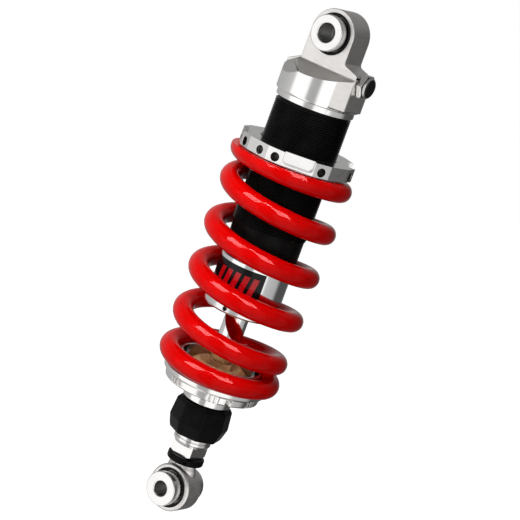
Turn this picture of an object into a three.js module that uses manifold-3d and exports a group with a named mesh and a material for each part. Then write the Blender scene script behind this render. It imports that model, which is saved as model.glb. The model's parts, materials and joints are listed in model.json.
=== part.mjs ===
// Rear shock absorber of a motorcycle: a gas-pressurised damper with a coil spring round it, a threaded spring
// preload, a rebound knob, an adjustable length and a spherical bearing in each eye.
// Millimetres, +Z up. The origin is the centre of the upper eye. The damper's axis is Z, and the bores of
// both eyes lie along Y.
import * as THREE from 'three';
import { mergeVertices } from 'three/addons/utils/BufferGeometryUtils.js';
import Module from 'manifold-3d';

const wasm = await Module();
wasm.setup();

// ---------------------------------------------------------------- driving dimensions
const EYE_TO_EYE = 316.5;          // centre distance of the two eyes, fully extended
const GAP = 0.3;                   // clearance left between pieces that touch
const THREAD_RADIUS = 25;          // crest of the M50 thread that carries the preload ring
const TUBE_RADIUS = 23.9;          // bare damper tube below the thread
const BORE_RADIUS = 20.5;          // bore in which the piston runs
const ROD_RADIUS = 8;

const EYE_RADIUS = 16;             // outside of both eyes
const UPPER_EYE_HALF_WIDTH = 10;
const LOWER_EYE_HALF_WIDTH = 8;
const UPPER_SPACER_END = 17.3;     // half of the width over the upper spacers
const LOWER_SPACER_END = 16.9;
const UPPER_BOLT_RADIUS = 6;
const LOWER_BOLT_RADIUS = 5;

const HEAD_RADIUS = 27.4;
const HEAD_BOTTOM = -42.6;         // end of the head's large cylinder
const HEAD_RIM_BOTTOM = -47;
const THREAD_BOTTOM = -132.6;      // end of the preload thread on the sleeve
const SLEEVE_BOTTOM = -153.4;
const CAP_TOP = -182.6;
const CAP_BOTTOM = -188.5;

const RING_TOP = -75.3;            // notched preload ring
const RING_BOTTOM = -84;
const WASHER_BOTTOM = -84.9;       // thrust washer between the ring and the spring

const SPRING_RADIUS = 35.1;        // centreline of the wire
const WIRE_RADIUS = 6.65;
const SEAT_TOP = -235;             // face on which the spring stands

const KNOB_TOP = -254.4;
const KNOB_BOTTOM = -277.4;
const FLATS_TOP = -282.9;          // square spanner section of the rod end fitting
const FLATS_BOTTOM = -292.5;
const LOCK_NUT_BOTTOM = -297.4;

// Sides of a round piece, by its size.
const LARGE = 32;
const MEDIUM = 20;
const SMALL = 16;
const TINY = 8;

// ---------------------------------------------------------------- materials
const finish = (color, roughness, metalness) => new THREE.MeshStandardMaterial({ color, roughness, metalness });
const CAST = finish(0xb9b5ae, 0.36, 1);
const POLISHED = finish(0xe4e3e0, 0.18, 1);
const SATIN = finish(0xc9c6c0, 0.3, 1);
const CHROME = finish(0xdcdcdc, 0.06, 1);
const STEEL = finish(0x9a9a98, 0.35, 1);
const DARK_STEEL = finish(0x3b3a38, 0.4, 1);
const BLACK_ANODISED = finish(0x0b0b0c, 0.35, 0.8);
const RUBBER = finish(0x111111, 0.75, 0);
const BRONZE = finish(0x9a6b3c, 0.4, 1);
const RED_COAT = finish(0xd60000, 0.18, 0);
const URETHANE = finish(0xa9743c, 0.6, 0);
const POLYMER = finish(0x5b4a33, 0.5, 0);

const group = new THREE.Group();
group.name = 'rear_shock_absorber';

// ---------------------------------------------------------------- solids
const solid = (geometry) => {
  const bare = geometry.index ? geometry.clone() : geometry;
  bare.deleteAttribute('normal');
  bare.deleteAttribute('uv');
  const merged = mergeVertices(bare, 1e-4);
  const vertProperties = new Float32Array(merged.attributes.position.array);
  const triVerts = new Uint32Array(merged.index.array);
  return new wasm.Manifold(new wasm.Mesh({ numProp: 3, vertProperties, triVerts }));
};

const toGeometry = (manifold) => {
  const mesh = manifold.getMesh();
  const geometry = new THREE.BufferGeometry();
  const positions = new Float32Array(mesh.numVert * 3);
  for (let i = 0; i < mesh.numVert; i += 1) {
    for (let k = 0; k < 3; k += 1) positions[3 * i + k] = mesh.vertProperties[mesh.numProp * i + k];
  }
  geometry.setAttribute('position', new THREE.BufferAttribute(positions, 3));
  geometry.setIndex(new THREE.BufferAttribute(new Uint32Array(mesh.triVerts), 1));
  geometry.computeVertexNormals();
  return geometry;
};

const add = (name, geometry, material) => {
  const mesh = new THREE.Mesh(geometry instanceof THREE.BufferGeometry ? geometry : toGeometry(geometry), material);
  mesh.name = name;
  group.add(mesh);
  return mesh;
};

// A closed outline of [radius, z] pairs, turned about Z. An outline that starts on the axis also ends on it.
const turned = (outline, segments = LARGE) => {
  const points = outline.map(([r, z]) => new THREE.Vector2(r, z));
  const onAxis = outline[0][0] === 0;
  if (!onAxis) points.push(points[0].clone());
  const area = points.reduce((sum, p, i) => {
    const q = points[(i + 1) % points.length];
    return sum + p.x * q.y - q.x * p.y;
  }, 0);
  if (area < 0) points.reverse();
  const geometry = new THREE.LatheGeometry(points, segments);
  geometry.rotateX(Math.PI / 2);   // the lathe's +Y becomes +Z
  return solid(geometry);
};

const ring = (inner, outer, low, high, segments = LARGE) =>
  turned([[inner, low], [outer, low], [outer, high], [inner, high]], segments);

const rod = (radius, low, high, segments = MEDIUM) =>
  turned([[0, low], [radius, low], [radius, high], [0, high]], segments);

// Prism of an outline in the XY plane, from z = low to z = high.
const prism = (shape, low, high, curveSegments = 12) => {
  const geometry = new THREE.ExtrudeGeometry(shape, { depth: high - low, bevelEnabled: false, curveSegments });
  geometry.translate(0, 0, low);
  return solid(geometry);
};

// Prism of an outline drawn in the XZ plane, from y = -halfWidth to y = +halfWidth.
const plate = (shape, halfWidth, curveSegments = 16) => {
  const geometry = new THREE.ExtrudeGeometry(shape, { depth: 2 * halfWidth, bevelEnabled: false, curveSegments });
  geometry.translate(0, 0, -halfWidth);
  geometry.rotateX(Math.PI / 2);
  return solid(geometry);
};

const box = (low, high) => {
  const size = high.map((value, i) => value - low[i]);
  const geometry = new THREE.BoxGeometry(...size);
  geometry.translate(...low.map((value, i) => value + size[i] / 2));
  return solid(geometry);
};

const polygon = (sides, cornerRadius, firstCornerDegrees) => {
  const shape = new THREE.Shape();
  for (let i = 0; i < sides; i += 1) {
    const angle = THREE.MathUtils.degToRad(firstCornerDegrees + (360 * i) / sides);
    const x = cornerRadius * Math.cos(angle);
    const y = cornerRadius * Math.sin(angle);
    if (i === 0) shape.moveTo(x, y);
    else shape.lineTo(x, y);
  }
  shape.closePath();
  return shape;
};

// Z-axis solids laid along another axis.
const alongY = (manifold, z = 0) => manifold.rotate([90, 0, 0]).translate([0, 0, z]);
const alongX = (manifold, z = 0) => manifold.rotate([0, 90, 0]).translate([0, 0, z]);

// ---------------------------------------------------------------- spherical bearing of an eye
const RACE_OUTER = 12.8;
const EYE_BORE = RACE_OUTER + GAP;
const BALL_RADIUS = 9.6;
const RACE_HALF_WIDTH = 4.2;
const BALL_HALF_WIDTH = 5.4;
const NECK_IN_EYE = 10.4;           // neck of a spacer, slim enough to tilt 4 degrees in the seal

const sphereBand = (radius, halfWidth, steps) => {
  const limit = Math.asin(halfWidth / radius);
  const points = [];
  for (let i = 0; i <= steps; i += 1) {
    const angle = -limit + (2 * limit * i) / steps;
    points.push([radius * Math.cos(angle), radius * Math.sin(angle)]);
  }
  return points;
};

// Spacers have a spigot in the ball, a slim neck in the seal and a round head outside the eye.
const addBearing = (prefix, z, boltRadius, eyeHalfWidth, spacerEnd, spacerRadius) => {
  const spigotRadius = boltRadius + 1.3;
  const raceBore = sphereBand(BALL_RADIUS + GAP, RACE_HALF_WIDTH, 4);
  const race = turned([...raceBore, [RACE_OUTER, RACE_HALF_WIDTH], [RACE_OUTER, -RACE_HALF_WIDTH]], MEDIUM);
  add(`${prefix}_bearing_race`, alongY(race, z), STEEL);
  const ballFace = sphereBand(BALL_RADIUS, BALL_HALF_WIDTH, 6);
  const ballBore = spigotRadius + GAP;
  const ball = turned([...ballFace, [ballBore, BALL_HALF_WIDTH], [ballBore, -BALL_HALF_WIDTH]], MEDIUM);
  add(`${prefix}_bearing_ball`, alongY(ball, z), CHROME);
  for (const [side, sign] of [['front', 1], ['back', -1]]) {
    const across = (manifold) => alongY(sign > 0 ? manifold : manifold.rotate([180, 0, 0]), z);
    const circlipIn = RACE_HALF_WIDTH + GAP;
    const circlip = ring(11.1, RACE_OUTER, circlipIn, circlipIn + 1, MEDIUM)
      .subtract(box([-1.6, 5, circlipIn - 1], [1.6, 20, circlipIn + 3]));
    add(`${prefix}_circlip_${side}`, across(circlip), DARK_STEEL);
    const sealIn = circlipIn + 1 + GAP;
    const seal = ring(NECK_IN_EYE + 1.1, RACE_OUTER, sealIn, eyeHalfWidth - 0.5, MEDIUM);
    add(`${prefix}_dust_seal_${side}`, across(seal), RUBBER);
    const shoulder = BALL_HALF_WIDTH + GAP;
    const headIn = eyeHalfWidth + 0.9;
    const spacer = turned([
      [boltRadius, 0.2], [spigotRadius, 0.2], [spigotRadius, shoulder], [9, shoulder], [NECK_IN_EYE, sealIn + 0.2],
      [NECK_IN_EYE, headIn], [spacerRadius, headIn + 0.3], [spacerRadius, spacerEnd - 0.5],
      [spacerRadius - 0.5, spacerEnd], [boltRadius + 0.6, spacerEnd], [boltRadius, spacerEnd - 0.6],
    ], MEDIUM);
    add(`${prefix}_spacer_${side}`, across(spacer), POLISHED);
  }
};

// ---------------------------------------------------------------- head: upper eye, shoulder, lug and body end
const VALVE_Z = -23.3;
const VALVE_HEX_RADIUS = 8.6;       // corners of the hexagon
const LUG_X = 27.6;
const SHOULDER_X = 25;

const headPlate = () => {
  const shape = new THREE.Shape();
  shape.moveTo(-EYE_RADIUS, 0);
  shape.absarc(0, 0, EYE_RADIUS, Math.PI, 0, true);
  shape.lineTo(EYE_RADIUS, -12.2);
  shape.quadraticCurveTo(EYE_RADIUS, -14.7, EYE_RADIUS + 2.5, -15.2);
  shape.lineTo(LUG_X - 1, -17.6);
  shape.lineTo(LUG_X, -18.4);
  shape.lineTo(LUG_X, HEAD_BOTTOM + 1.2);
  shape.lineTo(LUG_X - 2.4, HEAD_BOTTOM);
  shape.lineTo(-24, HEAD_BOTTOM);
  shape.lineTo(-SHOULDER_X, HEAD_BOTTOM + 1.2);
  shape.lineTo(-SHOULDER_X, -24.4);
  shape.lineTo(-EYE_RADIUS - 1.4, -20.5);
  shape.quadraticCurveTo(-EYE_RADIUS, -19.9, -EYE_RADIUS, -18.2);
  shape.closePath();
  return plate(shape, UPPER_EYE_HALF_WIDTH, 20);
};

// The lug's flanks run from its corners to the large cylinder, which they touch as tangents.
const lugFlanks = () => {
  const corner = Math.hypot(LUG_X, UPPER_EYE_HALF_WIDTH);
  const angle = Math.atan2(UPPER_EYE_HALF_WIDTH, LUG_X) + Math.acos(HEAD_RADIUS / corner);
  const touch = [HEAD_RADIUS * Math.cos(angle), HEAD_RADIUS * Math.sin(angle)];
  const shape = new THREE.Shape();
  shape.moveTo(0, 0);
  shape.lineTo(touch[0], -touch[1]);
  shape.lineTo(LUG_X, -UPPER_EYE_HALF_WIDTH);
  shape.lineTo(LUG_X, UPPER_EYE_HALF_WIDTH);
  shape.lineTo(...touch);
  shape.closePath();
  return prism(shape, HEAD_BOTTOM + 0.8, 0, 1);
};

// The roof falls to both sides of the plate, with a cove at its foot. Its corners away from the lug are bevelled.
const BEVEL_TILT = 41;
const BEVEL_AZIMUTH = 128;
const OUTSIDE = 40;                 // beyond the head in every direction

const headBody = () => {
  const roofTop = -22.5;
  const roofEdge = -27.8;
  const cove = 2;
  const shape = new THREE.Shape();
  const foot = UPPER_EYE_HALF_WIDTH;
  shape.moveTo(-HEAD_RADIUS - 1, HEAD_BOTTOM);
  shape.lineTo(-HEAD_RADIUS - 1, roofEdge);
  shape.lineTo(-foot - cove, roofTop);
  shape.quadraticCurveTo(-foot, roofTop + 0.4, -foot + 0.2, roofTop + cove + 0.8);
  shape.lineTo(foot - 0.2, roofTop + cove + 0.8);
  shape.quadraticCurveTo(foot, roofTop + 0.4, foot + cove, roofTop);
  shape.lineTo(HEAD_RADIUS + 1, roofEdge);
  shape.lineTo(HEAD_RADIUS + 1, HEAD_BOTTOM);
  shape.closePath();
  let gable = plate(shape, HEAD_RADIUS + 2, 4).rotate([0, 0, 90]);
  const widePlate = headPlate().scale([1, OUTSIDE / UPPER_EYE_HALF_WIDTH, 1]);
  const abovePlate = box([-OUTSIDE, -OUTSIDE, roofEdge], [-EYE_RADIUS, OUTSIDE, 0]).subtract(widePlate);
  gable = gable.subtract(abovePlate);
  for (const side of [-1, 1]) {
    const bevel = box([0, -OUTSIDE, -OUTSIDE], [OUTSIDE, OUTSIDE, OUTSIDE])
      .rotate([0, -BEVEL_TILT, side * BEVEL_AZIMUTH]);
    gable = gable.subtract(bevel.translate([-EYE_RADIUS - 0.5, side * foot, roofTop + 1.5]));
  }
  const chamfered = turned([
    [0, HEAD_RIM_BOTTOM], [25.8, HEAD_RIM_BOTTOM], [25.8, HEAD_BOTTOM - 0.4], [26.4, HEAD_BOTTOM],
    [HEAD_RADIUS, HEAD_BOTTOM + 0.8], [HEAD_RADIUS, 0], [0, 0],
  ], LARGE);
  const rim = box([-OUTSIDE, -OUTSIDE, HEAD_RIM_BOTTOM - 1], [OUTSIDE, OUTSIDE, HEAD_BOTTOM]);
  return chamfered.add(lugFlanks()).intersect(gable.add(rim));
};

// The gas passage runs from the valve pocket towards the axis and turns down into the gas chamber.
const TUBE_TOP = -39;
const TUBE_NECK_RADIUS = 22;
const GAS_CHAMBER_TOP = -31;
const VALVE_POCKET = [5.3, 17];     // radius and innermost X of the pocket that holds the valve
const DRILLING_RADIUS = 1.6;
const DRILLING_X = 13.2;

const addHead = () => {
  const head = headPlate()
    .add(headBody())
    .subtract(alongY(rod(EYE_BORE, -20, 20, LARGE)))
    .subtract(rod(TUBE_NECK_RADIUS + GAP, HEAD_RIM_BOTTOM - 1, TUBE_TOP + GAP, LARGE))
    .subtract(rod(19, HEAD_RIM_BOTTOM - 1, GAS_CHAMBER_TOP, MEDIUM))
    .subtract(alongX(rod(VALVE_POCKET[0], VALVE_POCKET[1], LUG_X + 2, SMALL), VALVE_Z))
    .subtract(alongX(rod(DRILLING_RADIUS, DRILLING_X, VALVE_POCKET[1] + 1, TINY), VALVE_Z))
    .subtract(rod(DRILLING_RADIUS, GAS_CHAMBER_TOP - 1, VALVE_Z, TINY).translate([DRILLING_X, 0, 0]));
  add('head_casting', head, CAST);
};

// The valve screws into the lug along X: hexagon outside, core inside, cap over the stem.
const addGasValve = () => {
  const hexOut = LUG_X + 4.1;
  const body = prism(polygon(6, VALVE_HEX_RADIUS, 90), LUG_X + GAP, hexOut, 1)
    .add(turned([[0, 18], [5, 18], [5, LUG_X + 1], [0, LUG_X + 1]], SMALL))
    .add(rod(3.6, hexOut - 0.2, hexOut + 0.9, SMALL))
    .subtract(rod(2.2, 16, LUG_X + 6, TINY));
  add('gas_valve_body', alongX(body, VALVE_Z), SATIN);
  add('gas_valve_core', alongX(rod(1.9, 19, hexOut + 0.7, TINY), VALVE_Z), BRONZE);
  const capIn = hexOut + GAP;
  const cap = turned([
    [3.9, capIn], [6.9, capIn], [6.9, capIn + 0.6], [6.2, capIn + 1.5], [4.4, capIn + 2.1], [0, capIn + 2.4],
    [0, capIn + 1.2], [3.9, capIn + 1.2],
  ], MEDIUM);
  add('gas_valve_cap', alongX(cap, VALVE_Z), BLACK_ANODISED);
};

// ---------------------------------------------------------------- tube, sleeve and rod guide
const CAP_RADIUS = 24.8;
const CAP_HOLE_AZIMUTHS = [9, 129, 249];
const CAP_HOLE_RADIUS = 1.5;
const CAP_HOLE_FLOOR = 21.5;
const SEAL_RADIUS = 12;

const addDamperTube = () => {
  add('threaded_sleeve', turned([
    [TUBE_NECK_RADIUS + GAP, HEAD_RIM_BOTTOM - GAP], [THREAD_RADIUS - 0.7, HEAD_RIM_BOTTOM - GAP],
    [THREAD_RADIUS, HEAD_RIM_BOTTOM - 1], [THREAD_RADIUS, THREAD_BOTTOM],
    [TUBE_RADIUS + 0.1, THREAD_BOTTOM - 0.9],
    [TUBE_RADIUS + 0.1, SLEEVE_BOTTOM], [TUBE_NECK_RADIUS + GAP, SLEEVE_BOTTOM],
  ], LARGE), BLACK_ANODISED);
  const shoulder = SLEEVE_BOTTOM - GAP;
  add('damper_tube', turned([
    [BORE_RADIUS, TUBE_TOP], [TUBE_NECK_RADIUS, TUBE_TOP], [TUBE_NECK_RADIUS, shoulder],
    [TUBE_RADIUS, shoulder], [TUBE_RADIUS, CAP_TOP + GAP], [BORE_RADIUS, CAP_TOP + GAP],
  ], LARGE), SATIN);
  let cap = turned([
    [SEAL_RADIUS + GAP, CAP_TOP], [CAP_RADIUS - 0.6, CAP_TOP], [CAP_RADIUS, CAP_TOP - 0.6],
    [CAP_RADIUS, CAP_BOTTOM + 0.6], [CAP_RADIUS - 0.6, CAP_BOTTOM], [10, CAP_BOTTOM], [10, CAP_BOTTOM + 1.5],
    [SEAL_RADIUS + GAP, CAP_BOTTOM + 1.5],
  ], LARGE);
  const hole = alongX(rod(CAP_HOLE_RADIUS, CAP_HOLE_FLOOR, CAP_RADIUS + 5, TINY), (CAP_TOP + CAP_BOTTOM) / 2);
  for (const azimuth of CAP_HOLE_AZIMUTHS) {
    cap = cap.subtract(hole.rotate([0, 0, azimuth - 90]));
  }
  add('bottom_cap', cap, POLISHED);
  const guideBottom = CAP_TOP + GAP;
  const guideTop = -166;
  const pocketTop = -177;
  const groove = [-176.2, -173.2];
  const outer = BORE_RADIUS - GAP;
  add('rod_guide', turned([
    [SEAL_RADIUS + GAP, guideBottom], [outer, guideBottom], [outer, groove[0]], [18.5, groove[0]],
    [18.5, groove[1]], [outer, groove[1]], [outer, guideTop], [9.6, guideTop], [9.6, pocketTop],
    [SEAL_RADIUS + GAP, pocketTop],
  ], MEDIUM), SATIN);
  add('rod_guide_o_ring', ring(18.8, outer, groove[0] + GAP, groove[1] - GAP, MEDIUM), RUBBER);
  add('rod_guide_bush', ring(ROD_RADIUS + GAP, 9.3, pocketTop + GAP, guideTop - GAP, SMALL), BRONZE);
  add('rod_seal', ring(ROD_RADIUS + GAP, SEAL_RADIUS, guideBottom + GAP, pocketTop - GAP, SMALL), RUBBER);
  add('rod_wiper', turned([
    [ROD_RADIUS + GAP, CAP_TOP - GAP], [SEAL_RADIUS, CAP_TOP - GAP], [SEAL_RADIUS, CAP_BOTTOM + 1.8],
    [9.7, CAP_BOTTOM + 1.8],
    [9.5, CAP_BOTTOM - 0.8], [ROD_RADIUS + GAP, CAP_BOTTOM - 1],
  ], SMALL), RUBBER);
  add('top_out_rubber', ring(ROD_RADIUS + 1, 16, guideTop + GAP, -157.6, SMALL), RUBBER);
};

// ---------------------------------------------------------------- pistons
const PISTON_BOTTOM = -155.7;
const PISTON_TOP = -145.7;
const STEM_RADIUS = 5;
const PORTS = 6;
const PORT_RADIUS = 1.8;
const PORT_CIRCLE = 12.5;
const SEPARATOR = [-88, -79];       // ends of the floating piston

const addPistons = () => {
  const outer = BORE_RADIUS - 0.4;
  let piston = turned([
    [STEM_RADIUS + GAP, PISTON_BOTTOM], [outer, PISTON_BOTTOM], [outer, PISTON_BOTTOM + 2.7],
    [18.8, PISTON_BOTTOM + 2.7], [18.8, PISTON_TOP - 2.7], [outer, PISTON_TOP - 2.7], [outer, PISTON_TOP],
    [STEM_RADIUS + GAP, PISTON_TOP],
  ], MEDIUM);
  const port = rod(PORT_RADIUS, PISTON_BOTTOM - 1, PISTON_TOP + 1, TINY).translate([PORT_CIRCLE, 0, 0]);
  for (let i = 0; i < PORTS; i += 1) {
    piston = piston.subtract(port.rotate([0, 0, (360 * i) / PORTS]));
  }
  add('piston', piston, SATIN);
  const band = ring(19.1, BORE_RADIUS - GAP, PISTON_BOTTOM + 3, PISTON_TOP - 3, MEDIUM);
  add('piston_band', band, POLYMER);
  const reboundShims = ring(STEM_RADIUS + GAP, 14, PISTON_BOTTOM - 1.5, PISTON_BOTTOM - GAP, SMALL);
  add('rebound_shims', reboundShims, STEEL);
  const shimsTop = PISTON_TOP + 1.5;
  add('compression_shims', ring(STEM_RADIUS + GAP, 15, PISTON_TOP + GAP, shimsTop, SMALL), STEEL);
  const nutBottom = shimsTop + GAP;
  const nut = prism(polygon(6, 9.8, 0), nutBottom, nutBottom + 5.4, 1)
    .subtract(rod(STEM_RADIUS + GAP, nutBottom - 1, nutBottom + 7, SMALL));
  add('piston_nut', nut, STEEL);
  const [low, high] = SEPARATOR;
  const middle = (low + high) / 2;
  add('floating_piston', turned([
    [0, low], [outer, low], [outer, middle - 1.5], [18.6, middle - 1.5], [18.6, middle + 1.5],
    [outer, middle + 1.5], [outer, high], [15, high], [15, low + 3], [0, low + 3],
  ], MEDIUM), SATIN);
  const separatorSeal = ring(18.9, BORE_RADIUS - GAP, middle - 1.2, middle + 1.2, MEDIUM);
  add('floating_piston_o_ring', separatorSeal, RUBBER);
};

// ---------------------------------------------------------------- preload ring and spring
const RING_NOTCHES = 4;
const FIRST_NOTCH_AZIMUTH = 36;
const NOTCH_HALF_WIDTH = 10;
const NOTCH_FLOOR = -82.8;
const NOTCH_BACK = 33;
const RING_CORNER_RADIUS = 38.6;
const RING_CORNERS = [-32.4, -15.5, 15.5, 32.4];   // azimuths from the middle of a notch
const PIN_HOLE_Z = -80.5;
const PIN_HOLE_OFFSET = 23.6;
const PIN_HOLE_RADIUS = 2.9;
const PIN_HOLE_FLOOR = 30;
const LOCK_SCREW_AZIMUTH = -6;      // radial grub screw that clamps the ring on the thread
const LOCK_SCREW_RADIUS = 2.5;
const LOCK_SCREW_END = 34;
const LOCK_SCREW_SOCKET = 1.4;
const RING_BORE = THREAD_RADIUS + GAP;

const polar = (radius, azimuth) => {
  const angle = THREE.MathUtils.degToRad(azimuth);
  return [radius * Math.sin(angle), -radius * Math.cos(angle)];
};

// A spanner notch, open at the top and outwards, facing -Y: drawn in XZ and milled from outside.
const spannerNotch = () => {
  const half = NOTCH_HALF_WIDTH;
  const corner = 3;
  const shape = new THREE.Shape();
  shape.moveTo(-half, RING_TOP + 1);
  shape.lineTo(-half, NOTCH_FLOOR + corner);
  shape.absarc(-half + corner, NOTCH_FLOOR + corner, corner, Math.PI, 1.5 * Math.PI, false);
  shape.lineTo(half - corner, NOTCH_FLOOR);
  shape.absarc(half - corner, NOTCH_FLOOR + corner, corner, 1.5 * Math.PI, 2 * Math.PI, false);
  shape.lineTo(half, RING_TOP + 1);
  shape.closePath();
  return plate(shape, 10, 3).translate([0, -NOTCH_BACK - 10, 0]);
};

const addPreloadRing = () => {
  const corners = [];
  const pitch = 360 / RING_NOTCHES;
  for (let i = 0; i < RING_NOTCHES; i += 1) {
    for (const corner of RING_CORNERS) {
      const azimuth = FIRST_NOTCH_AZIMUTH + pitch * i + corner;
      corners.push(new THREE.Vector2(...polar(RING_CORNER_RADIUS, azimuth)));
    }
  }
  let body = prism(new THREE.Shape(corners), RING_BOTTOM, RING_TOP, 1);
  for (let i = 0; i < RING_NOTCHES; i += 1) {
    const centre = FIRST_NOTCH_AZIMUTH + pitch * i;
    body = body.subtract(spannerNotch().rotate([0, 0, centre]));
    for (const offset of [-PIN_HOLE_OFFSET, PIN_HOLE_OFFSET]) {
      const pinHole = alongX(rod(PIN_HOLE_RADIUS, PIN_HOLE_FLOOR, 45, TINY), PIN_HOLE_Z);
      body = body.subtract(pinHole.rotate([0, 0, centre + offset - 90]));
    }
  }
  const bore = turned([
    [0, RING_BOTTOM - 1], [RING_BORE, RING_BOTTOM - 1], [RING_BORE, RING_TOP - 1], [RING_BORE + 1.4, RING_TOP + 0.4],
    [0, RING_TOP + 0.4],
  ], LARGE);
  const radially = (manifold) => alongX(manifold, PIN_HOLE_Z).rotate([0, 0, LOCK_SCREW_AZIMUTH - 90]);
  const screwHole = radially(rod(LOCK_SCREW_RADIUS + GAP, RING_BORE - 1, 45, TINY));
  add('preload_ring', body.subtract(bore).subtract(screwHole), POLISHED);
  const socket = prism(polygon(6, LOCK_SCREW_SOCKET, 0), LOCK_SCREW_END - 2, LOCK_SCREW_END + 1, 1);
  const screw = rod(LOCK_SCREW_RADIUS, RING_BORE + GAP, LOCK_SCREW_END, TINY).subtract(socket);
  add('lock_screw', radially(screw), DARK_STEEL);
  add('thrust_washer', ring(28.4, 36, WASHER_BOTTOM, RING_BOTTOM - GAP, MEDIUM), STEEL);
};

// Left-handed helix. Turns are counted from the front of the first full coil; the end coils close up and their
// outer faces are ground flat.
const FIRST_TURN = -0.6;
const LAST_TURN = 5.6;
const TURN_ZERO_AZIMUTH = 31;
const END_PITCH = 4.1;
const ACTIVE_PITCH = 30.5;
const OPENING = [-0.3, 0.6];       // turns over which the top coil opens to the active pitch
const CLOSING = [4.085, 5.285];     // turns over which the bottom coil closes again
const SPRING_START_Z = -85.9;

// Integral of a smooth step from 0 to 1 between two turns.
const smoothRise = (turn, [from, to]) => {
  const width = to - from;
  const t = THREE.MathUtils.clamp((turn - from) / width, 0, 1);
  return width * (t ** 3 - t ** 4 / 2) + Math.max(0, turn - to);
};

const wireHeight = (turn) => {
  const opened = smoothRise(turn, OPENING) - smoothRise(turn, CLOSING);
  return SPRING_START_Z - END_PITCH * (turn - FIRST_TURN) - (ACTIVE_PITCH - END_PITCH) * opened;
};

class WirePath extends THREE.Curve {
  getPoint(t, target = new THREE.Vector3()) {
    const turn = FIRST_TURN + t * (LAST_TURN - FIRST_TURN);
    const [x, y] = polar(SPRING_RADIUS, TURN_ZERO_AZIMUTH + 360 * turn);
    return target.set(x, y, wireHeight(turn));
  }

  getPointAt(u, target) {
    return this.getPoint(u, target);
  }
}

const addSpring = () => {
  const sides = 8;
  const section = polygon(sides, WIRE_RADIUS, 180 / sides);
  const stepsPerTurn = 14;
  const steps = Math.round(stepsPerTurn * (LAST_TURN - FIRST_TURN));
  const wire = new THREE.ExtrudeGeometry(section, { steps, extrudePath: new WirePath(), bevelEnabled: false });
  const top = WASHER_BOTTOM - GAP;
  const bottom = SEAT_TOP + GAP;
  const ground = solid(wire).subtract(box([-50, -50, top], [50, 50, top + 20]))
    .subtract(box([-50, -50, bottom - 20], [50, 50, bottom]));
  add('spring', ground, RED_COAT);
};

// ---------------------------------------------------------------- rod, spring seat and bump stop
const SEAT_FLOOR = -240;
const SEAT_BOTTOM = -254;
const CUP_RADIUS = 25.5;

const addRod = () => {
  const stemFoot = PISTON_BOTTOM - 1.8;
  const rodEnd = -274;
  const needleBore = 2.6;
  const pinZ = -259.2;
  const pinTravel = 2.6;            // half of the slot's height
  const stemTop = -137.5;
  const pistonRod = turned([
    [0, rodEnd], [ROD_RADIUS, rodEnd], [ROD_RADIUS, stemFoot], [STEM_RADIUS, stemFoot], [STEM_RADIUS, stemTop],
    [0, stemTop],
  ], MEDIUM)
    .subtract(rod(needleBore, rodEnd - 1, stemFoot - 4, TINY))
    .subtract(box([-20, -1.5, pinZ - pinTravel], [20, 1.5, pinZ + pinTravel]));
  add('piston_rod', pistonRod, CHROME);
  const needle = rod(needleBore - 0.4, -262, stemFoot - 8, TINY)
    .add(alongX(rod(1.1, -10.4, 10.4, TINY), pinZ));
  add('rebound_needle', needle, STEEL);
};

const SPLINE_GROUPS = 7;
const FIRST_SPLINE_AZIMUTH = 37.2;
const SLOT_AZIMUTH = 56.6;

// A flange and skirt under the spring, with a cup above for the bump stop. One radial slot cuts the skirt.
const addLowerSeat = () => {
  const skirtBottom = -244.6;
  const skirtTop = -239.2;
  const flangeBottom = SEAT_TOP - 3.1;
  const flangeRadius = 34.6;
  const cupRim = -224.2;
  let seat = turned([
    [ROD_RADIUS + GAP, SEAT_BOTTOM], [15.2, SEAT_BOTTOM], [16.3, SEAT_BOTTOM + 1.1], [16.3, skirtBottom - 0.6],
    [17, skirtBottom], [30.8, skirtBottom], [31.8, skirtBottom + 0.8], [32.7, skirtTop],
    [flangeRadius, flangeBottom],
    [flangeRadius, SEAT_TOP - 0.5], [flangeRadius - 0.5, SEAT_TOP], [27.6, SEAT_TOP], [27.6, cupRim - 0.6],
    [27, cupRim], [26.1, cupRim], [CUP_RADIUS, cupRim - 0.7], [CUP_RADIUS, SEAT_FLOOR],
    [ROD_RADIUS + GAP, SEAT_FLOOR],
  ], LARGE);
  for (let i = 0; i < SPLINE_GROUPS; i += 1) {
    const azimuth = FIRST_SPLINE_AZIMUTH + (360 * i) / SPLINE_GROUPS;
    for (const offset of [-5.6, 0, 5.6]) {
      const groove = box([30.6, -0.9, skirtBottom - 1], [40, 0.9, skirtTop - 0.4]);
      seat = seat.subtract(groove.rotate([0, 0, azimuth + offset - 90]));
    }
  }
  const slot = box([17.5, -2.1, skirtBottom - 1], [45, 2.1, flangeBottom]).rotate([0, 0, SLOT_AZIMUTH - 90]);
  add('lower_spring_seat', seat.subtract(slot), SATIN);
};

const BUMP_TOP = -221.9;
const addBumpStop = () => {
  const bottom = SEAT_FLOOR + GAP;
  const bore = ROD_RADIUS + 0.6;
  add('bump_stop', turned([
    [bore, bottom], [22, bottom], [22.6, bottom + 2], [22.2, bottom + 6], [20.6, -226.5], [17.6, BUMP_TOP + 0.7],
    [16.4, BUMP_TOP], [bore + 0.8, BUMP_TOP], [bore, BUMP_TOP - 0.8],
  ], MEDIUM), URETHANE);
};

// ---------------------------------------------------------------- rebound knob and rod end
const KNOB_CORNERS = 8;
const KNOB_CORNER_AZIMUTH = -6;
const KNOB_WAIST = -268.6;          // level of its largest width
const DETENT_Z = -268;
const NECK_RADIUS = 11;

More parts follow.
